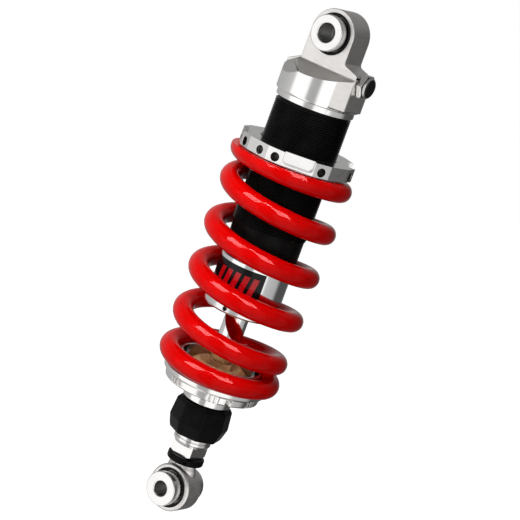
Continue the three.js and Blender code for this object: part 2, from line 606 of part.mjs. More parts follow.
const addKnob = () => {
  const body = turned([
    [0, KNOB_BOTTOM], [17.2, KNOB_BOTTOM], [18.3, KNOB_BOTTOM + 2.4], [20.2, KNOB_WAIST], [19, KNOB_TOP - 2.2],
    [17.3, KNOB_TOP], [0, KNOB_TOP],
  ], KNOB_CORNERS).rotate([0, 0, KNOB_CORNER_AZIMUTH]);
  const bore = turned([
    [0, KNOB_BOTTOM - 1], [NECK_RADIUS + GAP, KNOB_BOTTOM - 1], [NECK_RADIUS + GAP, KNOB_TOP - 2.4],
    [ROD_RADIUS + GAP, KNOB_TOP - 2.4], [ROD_RADIUS + GAP, KNOB_TOP + 1], [0, KNOB_TOP + 1],
  ], MEDIUM);
  add('rebound_knob', body.subtract(bore), BLACK_ANODISED);
};

const FLATS_CORNER_RADIUS = 12.1;
const FLATS_CORNER_AZIMUTH = 44;
const STUD_RADIUS = 6;

const addRodEnd = () => {
  const collarTop = KNOB_BOTTOM - GAP;
  const neckTop = -262;
  const grooveZ = (collarTop + FLATS_TOP) / 2;
  const body = turned([
    [0, FLATS_TOP - 2], [11, FLATS_TOP - 2], [12.2, FLATS_TOP], [12.6, FLATS_TOP + 0.5], [12.6, grooveZ - 0.5],
    [11.9, grooveZ], [12.6, grooveZ + 0.5], [12.6, collarTop - 0.5], [12.1, collarTop],
    [NECK_RADIUS, collarTop], [NECK_RADIUS, neckTop], [0, neckTop],
  ], LARGE);
  const flats = polygon(4, FLATS_CORNER_RADIUS, FLATS_CORNER_AZIMUTH - 90);
  const chamfered = turned([
    [0, FLATS_BOTTOM], [10, FLATS_BOTTOM], [FLATS_CORNER_RADIUS, FLATS_BOTTOM + 1.4], [13, FLATS_TOP],
    [0, FLATS_TOP],
  ], LARGE);
  const square = prism(flats, FLATS_BOTTOM, FLATS_TOP - 0.2, 1).intersect(chamfered);
  const bore = turned([
    [0, FLATS_BOTTOM - 1], [STUD_RADIUS + GAP, FLATS_BOTTOM - 1], [STUD_RADIUS + GAP, -274.3],
    [ROD_RADIUS + GAP, -274.3], [ROD_RADIUS + GAP, neckTop + 1], [0, neckTop + 1],
  ], MEDIUM);
  const detentHole = alongX(rod(1.6, ROD_RADIUS + 0.4, 15, TINY), DETENT_Z);
  add('rod_end_fitting', body.add(square).subtract(bore).subtract(detentHole), SATIN);
  const ball = new THREE.SphereGeometry(1.2, 8, 6);
  ball.translate(NECK_RADIUS - 1.25, 0, DETENT_Z);
  add('knob_detent_ball', solid(ball), STEEL);
};

const addLockNut = () => {
  const top = FLATS_BOTTOM - GAP;
  let nut = turned([
    [STUD_RADIUS + GAP, LOCK_NUT_BOTTOM], [11.7, LOCK_NUT_BOTTOM], [12.4, LOCK_NUT_BOTTOM + 0.7],
    [12.4, top - 0.5], [11.9, top], [STUD_RADIUS + GAP, top],
  ], LARGE);
  const pinHole = alongX(rod(1.2, 9.6, 14, TINY), (top + LOCK_NUT_BOTTOM) / 2);
  for (let i = 0; i < 4; i += 1) {
    nut = nut.subtract(pinHole.rotate([0, 0, 90 * i + 35]));
  }
  add('lock_nut', nut, BLACK_ANODISED);
};

// ---------------------------------------------------------------- lower eye
const addLowerEye = () => {
  const half = LOWER_EYE_HALF_WIDTH;
  const chamfer = 0.9;
  const neckTop = LOCK_NUT_BOTTOM - GAP;
  const housing = alongY(turned([
    [0, -half], [EYE_RADIUS - chamfer, -half], [EYE_RADIUS, -half + chamfer], [EYE_RADIUS, half - chamfer],
    [EYE_RADIUS - chamfer, half], [0, half],
  ], LARGE), -EYE_TO_EYE);
  const neck = turned([
    [0, -308], [11.2, -308], [10.6, -301.5], [9.4, -299], [9.2, neckTop], [0, neckTop],
  ], MEDIUM);
  const stud = rod(STUD_RADIUS, neckTop - 1, -277.3, MEDIUM);
  const eye = housing.add(neck.scale([1, 0.62, 1])).add(stud)
    .subtract(alongY(rod(EYE_BORE, -20, 20, LARGE), -EYE_TO_EYE));
  add('lower_eye', eye, CAST);
};

addHead();
addGasValve();
addDamperTube();
addPistons();
addPreloadRing();
addSpring();
addRod();
addLowerSeat();
addBumpStop();
addKnob();
addRodEnd();
addLockNut();
addLowerEye();
addBearing('upper', 0, UPPER_BOLT_RADIUS, UPPER_EYE_HALF_WIDTH, UPPER_SPACER_END, 11.6);
addBearing('lower', -EYE_TO_EYE, LOWER_BOLT_RADIUS, LOWER_EYE_HALF_WIDTH, LOWER_SPACER_END, 11.5);

export default group;
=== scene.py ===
"""Looks of the rear shock absorber: fine meshes, materials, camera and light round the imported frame."""
import json
import math

import bmesh
import bpy
import numpy as np
from mathutils import Matrix, Vector

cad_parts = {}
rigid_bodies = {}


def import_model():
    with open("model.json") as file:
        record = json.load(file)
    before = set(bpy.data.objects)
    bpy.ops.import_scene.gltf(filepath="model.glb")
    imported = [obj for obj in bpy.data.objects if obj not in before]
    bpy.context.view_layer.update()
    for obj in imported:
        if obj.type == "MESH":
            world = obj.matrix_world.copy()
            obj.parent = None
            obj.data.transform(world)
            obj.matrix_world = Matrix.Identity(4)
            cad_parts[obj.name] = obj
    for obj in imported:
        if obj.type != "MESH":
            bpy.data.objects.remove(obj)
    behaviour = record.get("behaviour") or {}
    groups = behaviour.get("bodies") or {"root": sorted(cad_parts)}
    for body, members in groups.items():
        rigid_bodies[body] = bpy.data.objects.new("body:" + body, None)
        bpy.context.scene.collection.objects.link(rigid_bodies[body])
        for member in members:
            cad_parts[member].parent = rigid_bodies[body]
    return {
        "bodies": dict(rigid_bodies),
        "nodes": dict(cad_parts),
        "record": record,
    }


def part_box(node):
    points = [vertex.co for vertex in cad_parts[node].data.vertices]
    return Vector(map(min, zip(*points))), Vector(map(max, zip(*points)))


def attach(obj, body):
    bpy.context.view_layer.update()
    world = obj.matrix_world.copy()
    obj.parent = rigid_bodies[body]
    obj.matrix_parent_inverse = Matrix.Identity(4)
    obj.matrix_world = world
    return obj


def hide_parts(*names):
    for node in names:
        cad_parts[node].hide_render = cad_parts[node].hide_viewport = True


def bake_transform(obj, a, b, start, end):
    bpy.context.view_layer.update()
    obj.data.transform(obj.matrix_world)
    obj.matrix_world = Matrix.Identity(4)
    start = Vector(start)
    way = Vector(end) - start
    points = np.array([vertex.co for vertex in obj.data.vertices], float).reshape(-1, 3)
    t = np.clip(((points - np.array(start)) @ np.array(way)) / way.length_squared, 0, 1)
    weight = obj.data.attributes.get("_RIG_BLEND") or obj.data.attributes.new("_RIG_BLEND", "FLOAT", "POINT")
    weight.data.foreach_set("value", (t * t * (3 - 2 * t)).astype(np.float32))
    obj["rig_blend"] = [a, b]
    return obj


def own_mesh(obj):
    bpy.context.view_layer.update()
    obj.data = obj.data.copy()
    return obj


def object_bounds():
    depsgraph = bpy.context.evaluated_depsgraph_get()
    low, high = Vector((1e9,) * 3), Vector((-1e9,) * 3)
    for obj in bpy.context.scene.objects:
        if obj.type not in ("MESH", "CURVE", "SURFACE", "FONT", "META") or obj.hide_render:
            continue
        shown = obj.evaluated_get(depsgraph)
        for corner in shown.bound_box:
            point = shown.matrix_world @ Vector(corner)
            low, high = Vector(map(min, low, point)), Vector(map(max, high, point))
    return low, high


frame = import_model()
cad_box = [list(corner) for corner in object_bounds()]
scene = bpy.context.scene

MM = 0.001


def low(node):
    """Lowest corner of a CAD node, in millimetres."""
    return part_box(node)[0] / MM


def high(node):
    """Highest corner of a CAD node, in millimetres."""
    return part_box(node)[1] / MM


def heights(node):
    """Top and bottom of a CAD node, in millimetres."""
    return high(node).z, low(node).z


# ---- camera
VIEW_AZIMUTH = math.radians(31.0)
VIEW_ELEVATION = math.radians(12.4)
VIEW_DISTANCE = 1.248
VIEW_ROLL = math.radians(20.15)
VIEW_HEIGHT = -0.154
VIEW_OFFSET = (0.00119, 0.00106)
LENS = 134.3


def direction(azimuth, elevation):
    """Unit vector towards an azimuth, 0 at -Y and a quarter turn at +X, and an elevation."""
    flat = math.cos(elevation)
    return Vector((math.sin(azimuth) * flat, -math.cos(azimuth) * flat, math.sin(elevation)))


def add_camera():
    """The camera, rolled so that the object leans."""
    back = direction(VIEW_AZIMUTH, VIEW_ELEVATION)
    right = Vector((math.cos(VIEW_AZIMUTH), math.sin(VIEW_AZIMUTH), 0.0))
    up = back.cross(right)
    middle = Vector((0.0, 0.0, VIEW_HEIGHT))
    target = middle + right * VIEW_OFFSET[0] + up * VIEW_OFFSET[1]
    data = bpy.data.cameras.new("camera")
    data.lens = LENS
    data.sensor_width = 36.0
    data.clip_end = 100.0
    camera = bpy.data.objects.new("camera", data)
    scene.collection.objects.link(camera)
    turn = (-back).to_track_quat("-Z", "Y").to_matrix() @ Matrix.Rotation(VIEW_ROLL, 3, "Z")
    camera.matrix_world = Matrix.Translation(target + back * VIEW_DISTANCE) @ turn.to_4x4()
    scene.camera = camera


add_camera()


# ---- nodes of a material
WAVE_RATE = 20        # radians per metre of a wave texture whose scale is 1


def add_node(tree, kind, inputs=None, **settings):
    """Adds a node to a tree. Each input is a value, or the output of another node."""
    made = tree.nodes.new(kind)
    for name, value in settings.items():
        setattr(made, name, value)
    for name, value in (inputs or {}).items():
        if isinstance(value, bpy.types.NodeSocket):
            tree.links.new(value, made.inputs[name])
        else:
            made.inputs[name].default_value = value
    return made


class Nodes:
    """The node tree of one material, with short calls for the nodes used here. Sizes are in metres."""

    def __init__(self, name):
        self.material = bpy.data.materials.new(name)
        self.material.use_nodes = True
        self.tree = self.material.node_tree
        self.surface = self.tree.nodes["Principled BSDF"]
        self.coordinates = self.node("ShaderNodeTexCoord").outputs["Object"]

    def set(self, **values):
        for name, value in values.items():
            self.surface.inputs[name.replace("_", " ")].default_value = value
        return self

    def node(self, kind, inputs=None, **settings):
        return add_node(self.tree, kind, inputs, **settings)

    def link(self, output, name):
        self.tree.links.new(output, self.surface.inputs[name])

    def noise(self, size, detail=4.0, stretch=None):
        """Noise with features about size across; stretch scales the coordinates along X, Y and Z."""
        vector = self.coordinates
        if stretch:
            vector = self.node("ShaderNodeMapping", {"Vector": vector, "Scale": stretch}).outputs[0]
        inputs = {"Vector": vector, "Scale": 1.0 / size, "Detail": detail}
        return self.node("ShaderNodeTexNoise", inputs).outputs["Fac"]

    def spread(self, value, to_low, to_high, from_low=0.3, from_high=0.7):
        """Stretches a value that lies between two limits to lie between two others."""
        inputs = {"Value": value, "From Min": from_low, "From Max": from_high,
                  "To Min": to_low, "To Max": to_high}
        return self.node("ShaderNodeMapRange", inputs).outputs[0]

    def mix(self, factor, one, other):
        """Colour between one and the other. Each is an RGB colour or an output."""
        made = self.node("ShaderNodeMix", data_type="RGBA")
        for name, value in (("Factor", factor), ("A", one), ("B", other)):
            kinds = ("VALUE",) if name == "Factor" else ("RGBA",)
            socket = next(s for s in made.inputs if s.name == name and s.type in kinds)
            if isinstance(value, bpy.types.NodeSocket):
                self.tree.links.new(value, socket)
            else:
                socket.default_value = (*value, 1.0)
        return next(s for s in made.outputs if s.type == "RGBA")

    def colour(self, factor, one, other):
        """Base colour between one and the other."""
        self.link(self.mix(factor, one, other), "Base Color")

    def roughness(self, pattern, smoothest, roughest):
        self.link(self.spread(pattern, smoothest, roughest), "Roughness")

    def bump(self, height, depth, previous=None):
        """Bump with a depth; previous is the normal of the bump under it."""
        inputs = {"Height": height, "Strength": 1.0, "Distance": depth}
        if previous:
            inputs["Normal"] = previous
        return self.node("ShaderNodeBump", inputs).outputs[0]

    def turning_marks(self, pitch):
        """Fine grooves round Z, as a lathe tool leaves them."""
        inputs = {"Vector": self.coordinates, "Scale": math.tau / (WAVE_RATE * pitch),
                  "Distortion": 1.5, "Detail": 2.0}
        return self.node("ShaderNodeTexWave", inputs, bands_direction="Z").outputs["Fac"]

    def edges(self, start, end):
        """Share of wear: 0 on flats, 1 on sharp convex edges."""
        pointiness = self.node("ShaderNodeNewGeometry").outputs["Pointiness"]
        return self.spread(pointiness, 0.0, 1.0, start, end)


def grey(value, warmth):
    return value * (1 + warmth), value, value * (1 - warmth)


# ---- materials
def metal(name, tone, warmth, rough, grain, depth, marks=None):
    """Bare metal with uneven polish, a fine grain and, where marks gives their pitch, turning marks."""
    nodes = Nodes(name).set(Metallic=1.0)
    cloud = nodes.spread(nodes.noise(0.012, 5.0), 0.0, 1.0)
    nodes.colour(cloud, grey(tone * 0.93, warmth), grey(tone, warmth))
    scuffs = nodes.noise(0.004, 6.0, (1.0, 1.0, 5.0))
    nodes.roughness(scuffs, rough * 0.8, rough * 1.25)
    normal = nodes.bump(nodes.noise(grain, 3.0), depth)
    if marks:
        normal = nodes.bump(nodes.turning_marks(marks), depth, normal)
    nodes.link(normal, "Normal")
    return nodes.material


def cast_alloy():
    return metal("cast_alloy", tone=0.78, warmth=0.03, rough=0.38, grain=0.0006, depth=4e-6)


def polished_alloy():
    return metal("polished_alloy", tone=0.84, warmth=0.012, rough=0.2, grain=0.0006, depth=3e-6, marks=0.0007)


def satin_alloy():
    return metal("satin_alloy", tone=0.86, warmth=0.02, rough=0.13, grain=0.0006, depth=2e-6, marks=0.0006)


def turned_alloy():
    return metal("turned_alloy", tone=0.90, warmth=0.01, rough=0.15, grain=0.0008, depth=2e-6, marks=0.0009)


def chrome():
    return metal("chrome", tone=0.9, warmth=0.0, rough=0.05, grain=0.0012, depth=1e-6)


def steel():
    return metal("steel", tone=0.6, warmth=0.01, rough=0.3, grain=0.0005, depth=6e-6, marks=0.0004)


def dark_steel():
    return metal("dark_steel", tone=0.12, warmth=0.02, rough=0.42, grain=0.0005, depth=8e-6)


# a dark steel that paints the shade inside the preload ring's pin holes
def painted_shade_steel():
    return metal("painted_shade_steel", tone=0.22, warmth=0.04, rough=0.4, grain=0.0005, depth=8e-6)


def bronze():
    """Warm porous bearing bronze."""
    nodes = Nodes("bronze").set(Metallic=1.0)
    nodes.colour(nodes.noise(0.003), (0.45, 0.27, 0.1), (0.62, 0.42, 0.2))
    nodes.roughness(nodes.noise(0.0015), 0.3, 0.45)
    return nodes.material


def black_anodised():
    """Satin black alloy with rubbed, lighter edges and a faint cloudiness."""
    rough = 0.27
    nodes = Nodes("black_anodised").set(Metallic=0.0, Specular_IOR_Level=0.07)
    cloud = nodes.spread(nodes.noise(0.009, 5.0), 0.0, 1.0)
    black = nodes.mix(cloud, (0.0022, 0.0021, 0.0021), (0.006, 0.0058, 0.0058))
    rubbed = {0: nodes.edges(0.56, 0.7), 1: nodes.noise(0.0012, 6.0)}
    worn = nodes.node("ShaderNodeMath", rubbed, operation="MULTIPLY").outputs[0]
    nodes.colour(worn, black, (0.09, 0.09, 0.09))
    nodes.roughness(nodes.noise(0.003, 6.0, (1.0, 1.0, 4.0)), rough * 0.85, rough * 1.25)
    grain = nodes.bump(nodes.noise(0.0004, 3.0), 6e-6)
    nodes.link(nodes.bump(nodes.turning_marks(0.0005), 2e-6, grain), "Normal")
    return nodes.material


def gloss_black(name="gloss_black", level=0.5):
    """Shiny black plastic or film; level is its specular level."""
    nodes = Nodes(name).set(Specular_IOR_Level=level)
    nodes.colour(nodes.noise(0.004), (0.002, 0.002, 0.002), (0.006, 0.006, 0.007))
    nodes.roughness(nodes.noise(0.002), 0.1, 0.2)
    nodes.link(nodes.bump(nodes.noise(0.0015), 5e-6), "Normal")
    return nodes.material


def rubber():
    """Matt black rubber with a coarse grain."""
    nodes = Nodes("rubber").set(Specular_IOR_Level=0.35)
    nodes.colour(nodes.noise(0.002, 6.0), (0.006, 0.006, 0.006), (0.018, 0.017, 0.016))
    nodes.roughness(nodes.noise(0.001), 0.45, 0.7)
    nodes.link(nodes.bump(nodes.noise(0.0003, 6.0), 20e-6), "Normal")
    return nodes.material


def red_coat():
    """Glossy red powder coat with a faint orange peel under a clear film."""
    nodes = Nodes("red_coat").set(Specular_IOR_Level=0.16, Specular_Tint=(1.0, 0.4, 0.4, 1.0))
    cloud = nodes.spread(nodes.noise(0.006, 4.0), 0.0, 1.0)
    nodes.colour(cloud, (0.64, 0.0, 0.0), (0.72, 0.0, 0.0))
    nodes.roughness(nodes.noise(0.004, 5.0), 0.05, 0.1)
    peel = nodes.bump(nodes.noise(0.002, 2.0), 2e-6)
    nodes.link(nodes.bump(nodes.noise(0.0004, 2.0), 1.5e-6, peel), "Normal")
    return nodes.material


def urethane():
    """Caramel cellular urethane: mottled, with small open pores."""
    cell_size, pore_depth = 0.0009, 60e-6
    nodes = Nodes("urethane").set(Subsurface_Weight=0.15, Subsurface_Scale=0.002, Specular_IOR_Level=0.35)
    cloud = nodes.spread(nodes.noise(0.004, 6.0), 0.0, 1.0)
    mottle = nodes.mix(cloud, (0.72, 0.42, 0.15), (0.96, 0.70, 0.36))
    cells = nodes.node("ShaderNodeTexVoronoi", {"Vector": nodes.coordinates, "Scale": 1 / cell_size})
    # painted shade: the pores are coloured dark brown, the shade inside each pore
    pores = nodes.spread(cells.outputs["Distance"], 0.0, 1.0, 0.05, 0.3)
    nodes.colour(pores, (0.2, 0.09, 0.03), mottle)
    nodes.roughness(nodes.noise(0.001), 0.4, 0.6)
    normal = nodes.bump(pores, pore_depth)
    nodes.link(nodes.bump(nodes.noise(0.0006, 5.0), pore_depth, normal), "Normal")
    return nodes.material


def polymer():
    """Brown bearing liner."""
    nodes = Nodes("polymer")
    nodes.colour(nodes.noise(0.001, 5.0), (0.1, 0.07, 0.04), (0.2, 0.15, 0.09))
    nodes.roughness(nodes.noise(0.0008), 0.4, 0.6)
    return nodes.material


def red_vinyl():
    """The red of the decal."""
    nodes = Nodes("red_vinyl").set(Specular_IOR_Level=0.5)
    nodes.colour(nodes.noise(0.003, 5.0), (0.50, 0.0, 0.004), (0.62, 0.0, 0.006))
    nodes.roughness(nodes.noise(0.002), 0.22, 0.35)
    nodes.link(nodes.bump(nodes.noise(0.001), 6e-6), "Normal")
    return nodes.material


FINISHES = {make.__name__: make() for make in (
    cast_alloy, polished_alloy, satin_alloy, turned_alloy, chrome, steel, dark_steel, painted_shade_steel,
    black_anodised, gloss_black, rubber, bronze, red_coat, urethane, polymer)}
RED_VINYL = red_vinyl()
LABEL_BLACK = gloss_black("label_black", 0.22)


def finish_cad_nodes():
    """Gives every CAD node the finish of its slot in the record."""
    for part in frame["record"]["subparts"]:
        data = frame["nodes"][part["node"]].data
        data.materials.clear()
        data.materials.append(FINISHES[part["material_slot"]])


finish_cad_nodes()
BODY_OF = {node: body for body, nodes in frame["record"]["behaviour"]["bodies"].items() for node in nodes}
SLOT_OF = {part["node"]: part["material_slot"] for part in frame["record"]["subparts"]}


# ---- mesh building, in millimetres
ROUND = 144           # sides of a large round piece
SMALL_ROUND = 96
ON_AXIS = 1e-6        # a smaller radius counts as none
CORNER_SHARE = 0.42   # share of a side that the round of one corner may take


def polar(radius, azimuth):
    """X and Y at a radius and an azimuth, which is 0 at -Y and a quarter turn at +X."""
    return radius * math.sin(azimuth), -radius * math.cos(azimuth)


def curve(start, control, end, steps=8):
    """Points of a curve from start to end that bends towards control."""
    points = [Vector(p) for p in (start, control, end)]
    ts = [k / steps for k in range(steps + 1)]
    return [tuple(points[0] * (1 - t) ** 2 + points[1] * 2 * t * (1 - t) + points[2] * t ** 2) for t in ts]


def arc(radius, start, end, steps):
    """Points of an arc round the origin, between two angles in degrees from the first axis."""
    angles = [math.radians(start + (end - start) * k / steps) for k in range(steps + 1)]
    return [(radius * math.cos(a), radius * math.sin(a)) for a in angles]


def mesh_object(name, vertices, faces):
    """An object of its own mesh, with all faces turned outwards."""
    mesh = bpy.data.meshes.new(name)
    mesh.from_pydata([tuple(value * MM for value in vertex) for vertex in vertices], [], faces)
    made = bpy.data.objects.new(name, mesh)
    scene.collection.objects.link(made)
    work = bmesh.new()
    work.from_mesh(mesh)
    bmesh.ops.recalc_face_normals(work, faces=work.faces)
    work.to_mesh(mesh)
    work.free()
    return made


def rounded(outline, radius, steps=4):
    """A closed outline with its corners rounded. Points on the axis stay sharp."""
    least_reach = 1e-4
    points = [Vector(p) for p in outline]
    result = []
    for i, point in enumerate(points):
        before, after = points[i - 1], points[(i + 1) % len(points)]
        to_before, to_after = before - point, after - point
        reach = min(radius, CORNER_SHARE * to_before.length, CORNER_SHARE * to_after.length)
        if point[0] < ON_AXIS or reach < least_reach:
            result.append(point)
            continue
        start, end = point + to_before.normalized() * reach, point + to_after.normalized() * reach
        result += curve(start, point, end, steps)
    return result


def polygon_share(sides, first_corner, sharpness):
    """Radius over corner radius, by azimuth, of a regular polygon with softened corners."""
    apothem = math.cos(math.pi / sides)

    def share(azimuth):
        total = 0.0
        for k in range(sides):
            middle = first_corner + math.tau * (k + 0.5) / sides
            total += max(0.0, math.cos(azimuth - middle)) ** sharpness
        return min(1.0, apothem / total ** (1 / sharpness))

    return share


def revolve(name, outline, sides=ROUND, share=None):
    """Turns a closed outline of (radius, z) about Z. A third number in a point, from 0 to 1, is how far the
    point follows the polygon of share."""
    vertices, rings = [], []
    for point in outline:
        if point[0] < ON_AXIS:
            rings.append([len(vertices)] * sides)
            vertices.append((0.0, 0.0, point[1]))
            continue
        ring = []
        for i in range(sides):
            azimuth = math.tau * i / sides
            radius = point[0]
            if share and len(point) > 2:
                radius *= 1 + point[2] * (share(azimuth) - 1)
            ring.append(len(vertices))
            vertices.append((*polar(radius, azimuth), point[1]))
        rings.append(ring)
    faces = []
    for ring, following in zip(rings, rings[1:] + rings[:1]):
        if ring[0] == ring[1] and following[0] == following[1]:
            continue
        for i in range(sides):
            j = (i + 1) % sides
            corners = [ring[i], ring[j], following[j], following[i]]
            faces.append([corner for k, corner in enumerate(corners) if corner not in corners[:k]])
    return mesh_object(name, vertices, faces)


def turned(name, outline, radius, sides=ROUND):
    """Turns a closed outline with rounded corners about Z."""
    return revolve(name, rounded(outline, radius), sides)


def prism(name, outline, start, end):
    """Prism of an XY outline from z = start to z = end."""
    count = len(outline)
    vertices = [(x, y, z) for z in (start, end) for x, y in outline]
    sides = [[i, (i + 1) % count, (i + 1) % count + count, i + count] for i in range(count)]
    return mesh_object(name, vertices, [list(range(count)), list(range(count, 2 * count)), *sides])


def tube_faces(rings, sides):
    """Faces of a tube through rings of vertices, sides to a ring, with a cap on both ends."""
    faces = []
    for i in range(rings - 1):
        for k in range(sides):
            j = (k + 1) % sides
            faces.append([i * sides + k, i * sides + j, (i + 1) * sides + j, (i + 1) * sides + k])
    last = (rings - 1) * sides
    return faces + [list(range(sides)), list(range(last, last + sides))]


def block(name, corner, opposite):
    """A box between two opposite corners."""
    (x0, y0, z0), (x1, y1, z1) = corner, opposite
    return prism(name, [(x0, y0), (x1, y0), (x1, y1), (x0, y1)], z0, z1)


def moved(piece, *matrices):
    """Moves the piece's mesh by each matrix in turn."""
    for matrix in matrices:
        piece.data.transform(matrix.to_4x4())
    return piece


def turn(degrees, axis):
    return Matrix.Rotation(math.radians(degrees), 4, axis)


def shift(x, y, z):
    return Matrix.Translation(Vector((x, y, z)) * MM)


def settle(piece):
    """Applies the modifiers of a piece to its mesh."""
    graph = bpy.context.evaluated_depsgraph_get()
    mesh = bpy.data.meshes.new_from_object(piece.evaluated_get(graph))
    piece.modifiers.clear()
    piece.data = mesh
    return piece


def combined(piece, tools, operation="DIFFERENCE"):
    """Joins or cuts piece with each tool, and removes the tools."""
    for tool in tools:
        modifier = piece.modifiers.new("cut", "BOOLEAN")
        modifier.object = tool
        modifier.operation = operation
        modifier.solver = "EXACT"
        settle(piece)
        bpy.data.objects.remove(tool)
    return piece


def softened(piece, width, angle=32, segments=3):
    """Rounds the piece's edges that are sharper than an angle in degrees."""
    merge_distance = 0.00001
    work = bmesh.new()
    work.from_mesh(piece.data)
    bmesh.ops.remove_doubles(work, verts=work.verts, dist=merge_distance)
    bmesh.ops.dissolve_degenerate(work, dist=merge_distance, edges=work.edges)
    work.to_mesh(piece.data)
    work.free()
    modifier = piece.modifiers.new("edges", "BEVEL")
    modifier.width = width * MM
    modifier.segments = segments
    modifier.limit_method = "ANGLE"
    modifier.angle_limit = math.radians(angle)
    modifier.use_clamp_overlap = False
    modifier.miter_outer = "MITER_ARC"
    return settle(piece)


def joined(piece, others):
    """Puts the meshes of other objects into piece's mesh, as separate shells."""
    work = bmesh.new()
    for source in [piece, *others]:
        work.from_mesh(source.data)
    work.to_mesh(piece.data)
    work.free()
    for other in others:
        bpy.data.objects.remove(other)
    return piece


def radial_hole(radius, start, end, z, azimuth, sides=32):
    """A drill for a hole towards the axis, between two distances from it. The azimuth is in degrees."""
    hole = revolve("hole", [(0, start), (radius, start), (radius, end), (0, end)], sides)
    return moved(hole, turn(90, "Y"), shift(0, 0, z), turn(azimuth - 90, "Z"))


THREAD_PITCH = 1.5


def threaded(name, core_radius, crest_radius, start, end, bore=0.0, sides=ROUND, root=None):
    """A cylinder from z = start up to end, with a helical thread that runs out at both ends."""
    root = root or crest_radius - 0.55 * THREAD_PITCH
    sunk = root - 0.4
    outline = [(bore, start), (core_radius, start), (core_radius, end), (bore, end)]
    core = turned(name, outline, 0.3, sides)
    steps = int(((end - start) / THREAD_PITCH - 1) * sides)
    profile = [(0.0, sunk), (0.08, root), (0.42, crest_radius),
               (0.58, crest_radius), (0.92, root), (1.0, sunk)]
    run_out, least_fade, ridge_width = 0.5 * sides, 0.05, 0.98
    vertices = []
    for i in range(steps + 1):
        fade = max(min(1.0, i / run_out, (steps - i) / run_out), least_fade)
        for along, radius in profile:
            height = start + THREAD_PITCH * (i / sides + along * ridge_width)
            vertices.append((*polar(sunk + (radius - sunk) * fade, math.tau * i / sides), height))
    ridge = mesh_object("ridge", vertices, tube_faces(steps + 1, len(profile)))
    return joined(core, [ridge])


def placed(piece, node, finish=None, stands=True, smooth=38):
    """Smooths and finishes a piece, which rides with its CAD node and, if stands is true, replaces it."""
    mesh = piece.data
    mesh.polygons.foreach_set("use_smooth", [True] * len(mesh.polygons))
    mesh.set_sharp_from_angle(angle=math.radians(smooth))
    weighted = piece.modifiers.new("normals", "WEIGHTED_NORMAL")
    weighted.weight = 80
    weighted.keep_sharp = True
    mesh = settle(piece).data
    mesh.materials.clear()
    mesh.materials.append(finish or FINISHES[SLOT_OF[node]])
    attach(piece, BODY_OF[node])
    if stands:
        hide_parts(node)
    return piece


def recoated(piece, is_inside, finish="dark_steel"):
    """Gives another finish to the faces whose centre is_inside accepts. Inside holes and bores that finish is
    painted shade; on the gas valve cap's rim it is a painted highlight.
    """
    piece.data.materials.append(FINISHES[finish])
    for face in piece.data.polygons:
        if is_inside(*(face.center / MM)):
            face.material_index = 1


# ---- head and eyes
EYE_RADIUS = high("head_casting").z
EYE_HALF_WIDTH = 10.0
EYE_BORE = high("upper_bearing_race").x + 0.3
EYE_TO_EYE = -sum(heights("lower_bearing_race")) / 2
LOWER_HALF_WIDTH = high("lower_eye").y
BOLT_RADIUS = {"upper": 6.0, "lower": 5.0}
SPACER_NECK = 10.4
LUG_X = high("head_casting").x
SHOULDER_X = 25.0
HEAD_RADIUS = -low("head_casting").x
RIM_BOTTOM = low("head_casting").z
RIM_RADIUS = 25.8
HEAD_BOTTOM = RIM_BOTTOM + 4.4
VALVE_Z = sum(heights("gas_valve_cap")) / 2
SLEEVE_BORE = 22.3


def upright(name, outline, half_width):
    """Prism of an XZ outline, from y = -half_width to y = half_width."""
    piece = prism(name, outline, -half_width, half_width)
    return moved(piece, turn(90, "X"))


def head_outline():
    """The plate with the upper eye, its shoulder and its lug, in XZ."""
    fillet_start, fillet_end = -12.2, -15.2
    lug_corner, shoulder_top, cove = -18.4, -24.4, -18.2
    return [
        *arc(EYE_RADIUS, 180, 0, 64),
        *curve((EYE_RADIUS, fillet_start), (EYE_RADIUS, fillet_end + 0.5), (EYE_RADIUS + 2.5, fillet_end)),
        (LUG_X - 1, -17.6), (LUG_X, lug_corner), (LUG_X, HEAD_BOTTOM + 1.2), (LUG_X - 2.4, HEAD_BOTTOM),
        (-24, HEAD_BOTTOM), (-SHOULDER_X, HEAD_BOTTOM + 1.2), (-SHOULDER_X, shoulder_top),
        *curve((-EYE_RADIUS - 1.4, -20.5), (-EYE_RADIUS, -19.9), (-EYE_RADIUS, cove)),
    ]


def head_gable():
    """The head seen along X: the plate's foot widens through coves, under bevelled shoulders."""
    foot, edge, cove, top, eave = EYE_HALF_WIDTH, HEAD_RADIUS + 1, 2.0, -22.5, -27.8
    bevel_tilt, bevel_turn, bevel_z = -41, 128, -21
    left = [(-edge, HEAD_BOTTOM - 0.5), (-edge, eave),
            *curve((-foot - cove, top), (-foot, top + 0.4), (-foot + 0.2, top + cove + 0.8))]
    gable = upright("gable", left + [(-x, z) for x, z in reversed(left)], HEAD_RADIUS + 2)
    moved(gable, turn(90, "Z"))
    shoulder = block("shoulder", (-40, -39, eave), (-EYE_RADIUS, 39, 0))
    combined(shoulder, [upright("wide", head_outline(), 80)])
    bevels = []
    for side in (-1, 1):
        bevel = block("bevel", (0, -40, -40), (40, 40, 40))
        moved(bevel, turn(bevel_tilt, "Y"), turn(bevel_turn * side, "Z"),
              shift(-EYE_RADIUS - 0.5, side * foot, bevel_z))
        bevels.append(bevel)
    return combined(gable, [shoulder, *bevels])


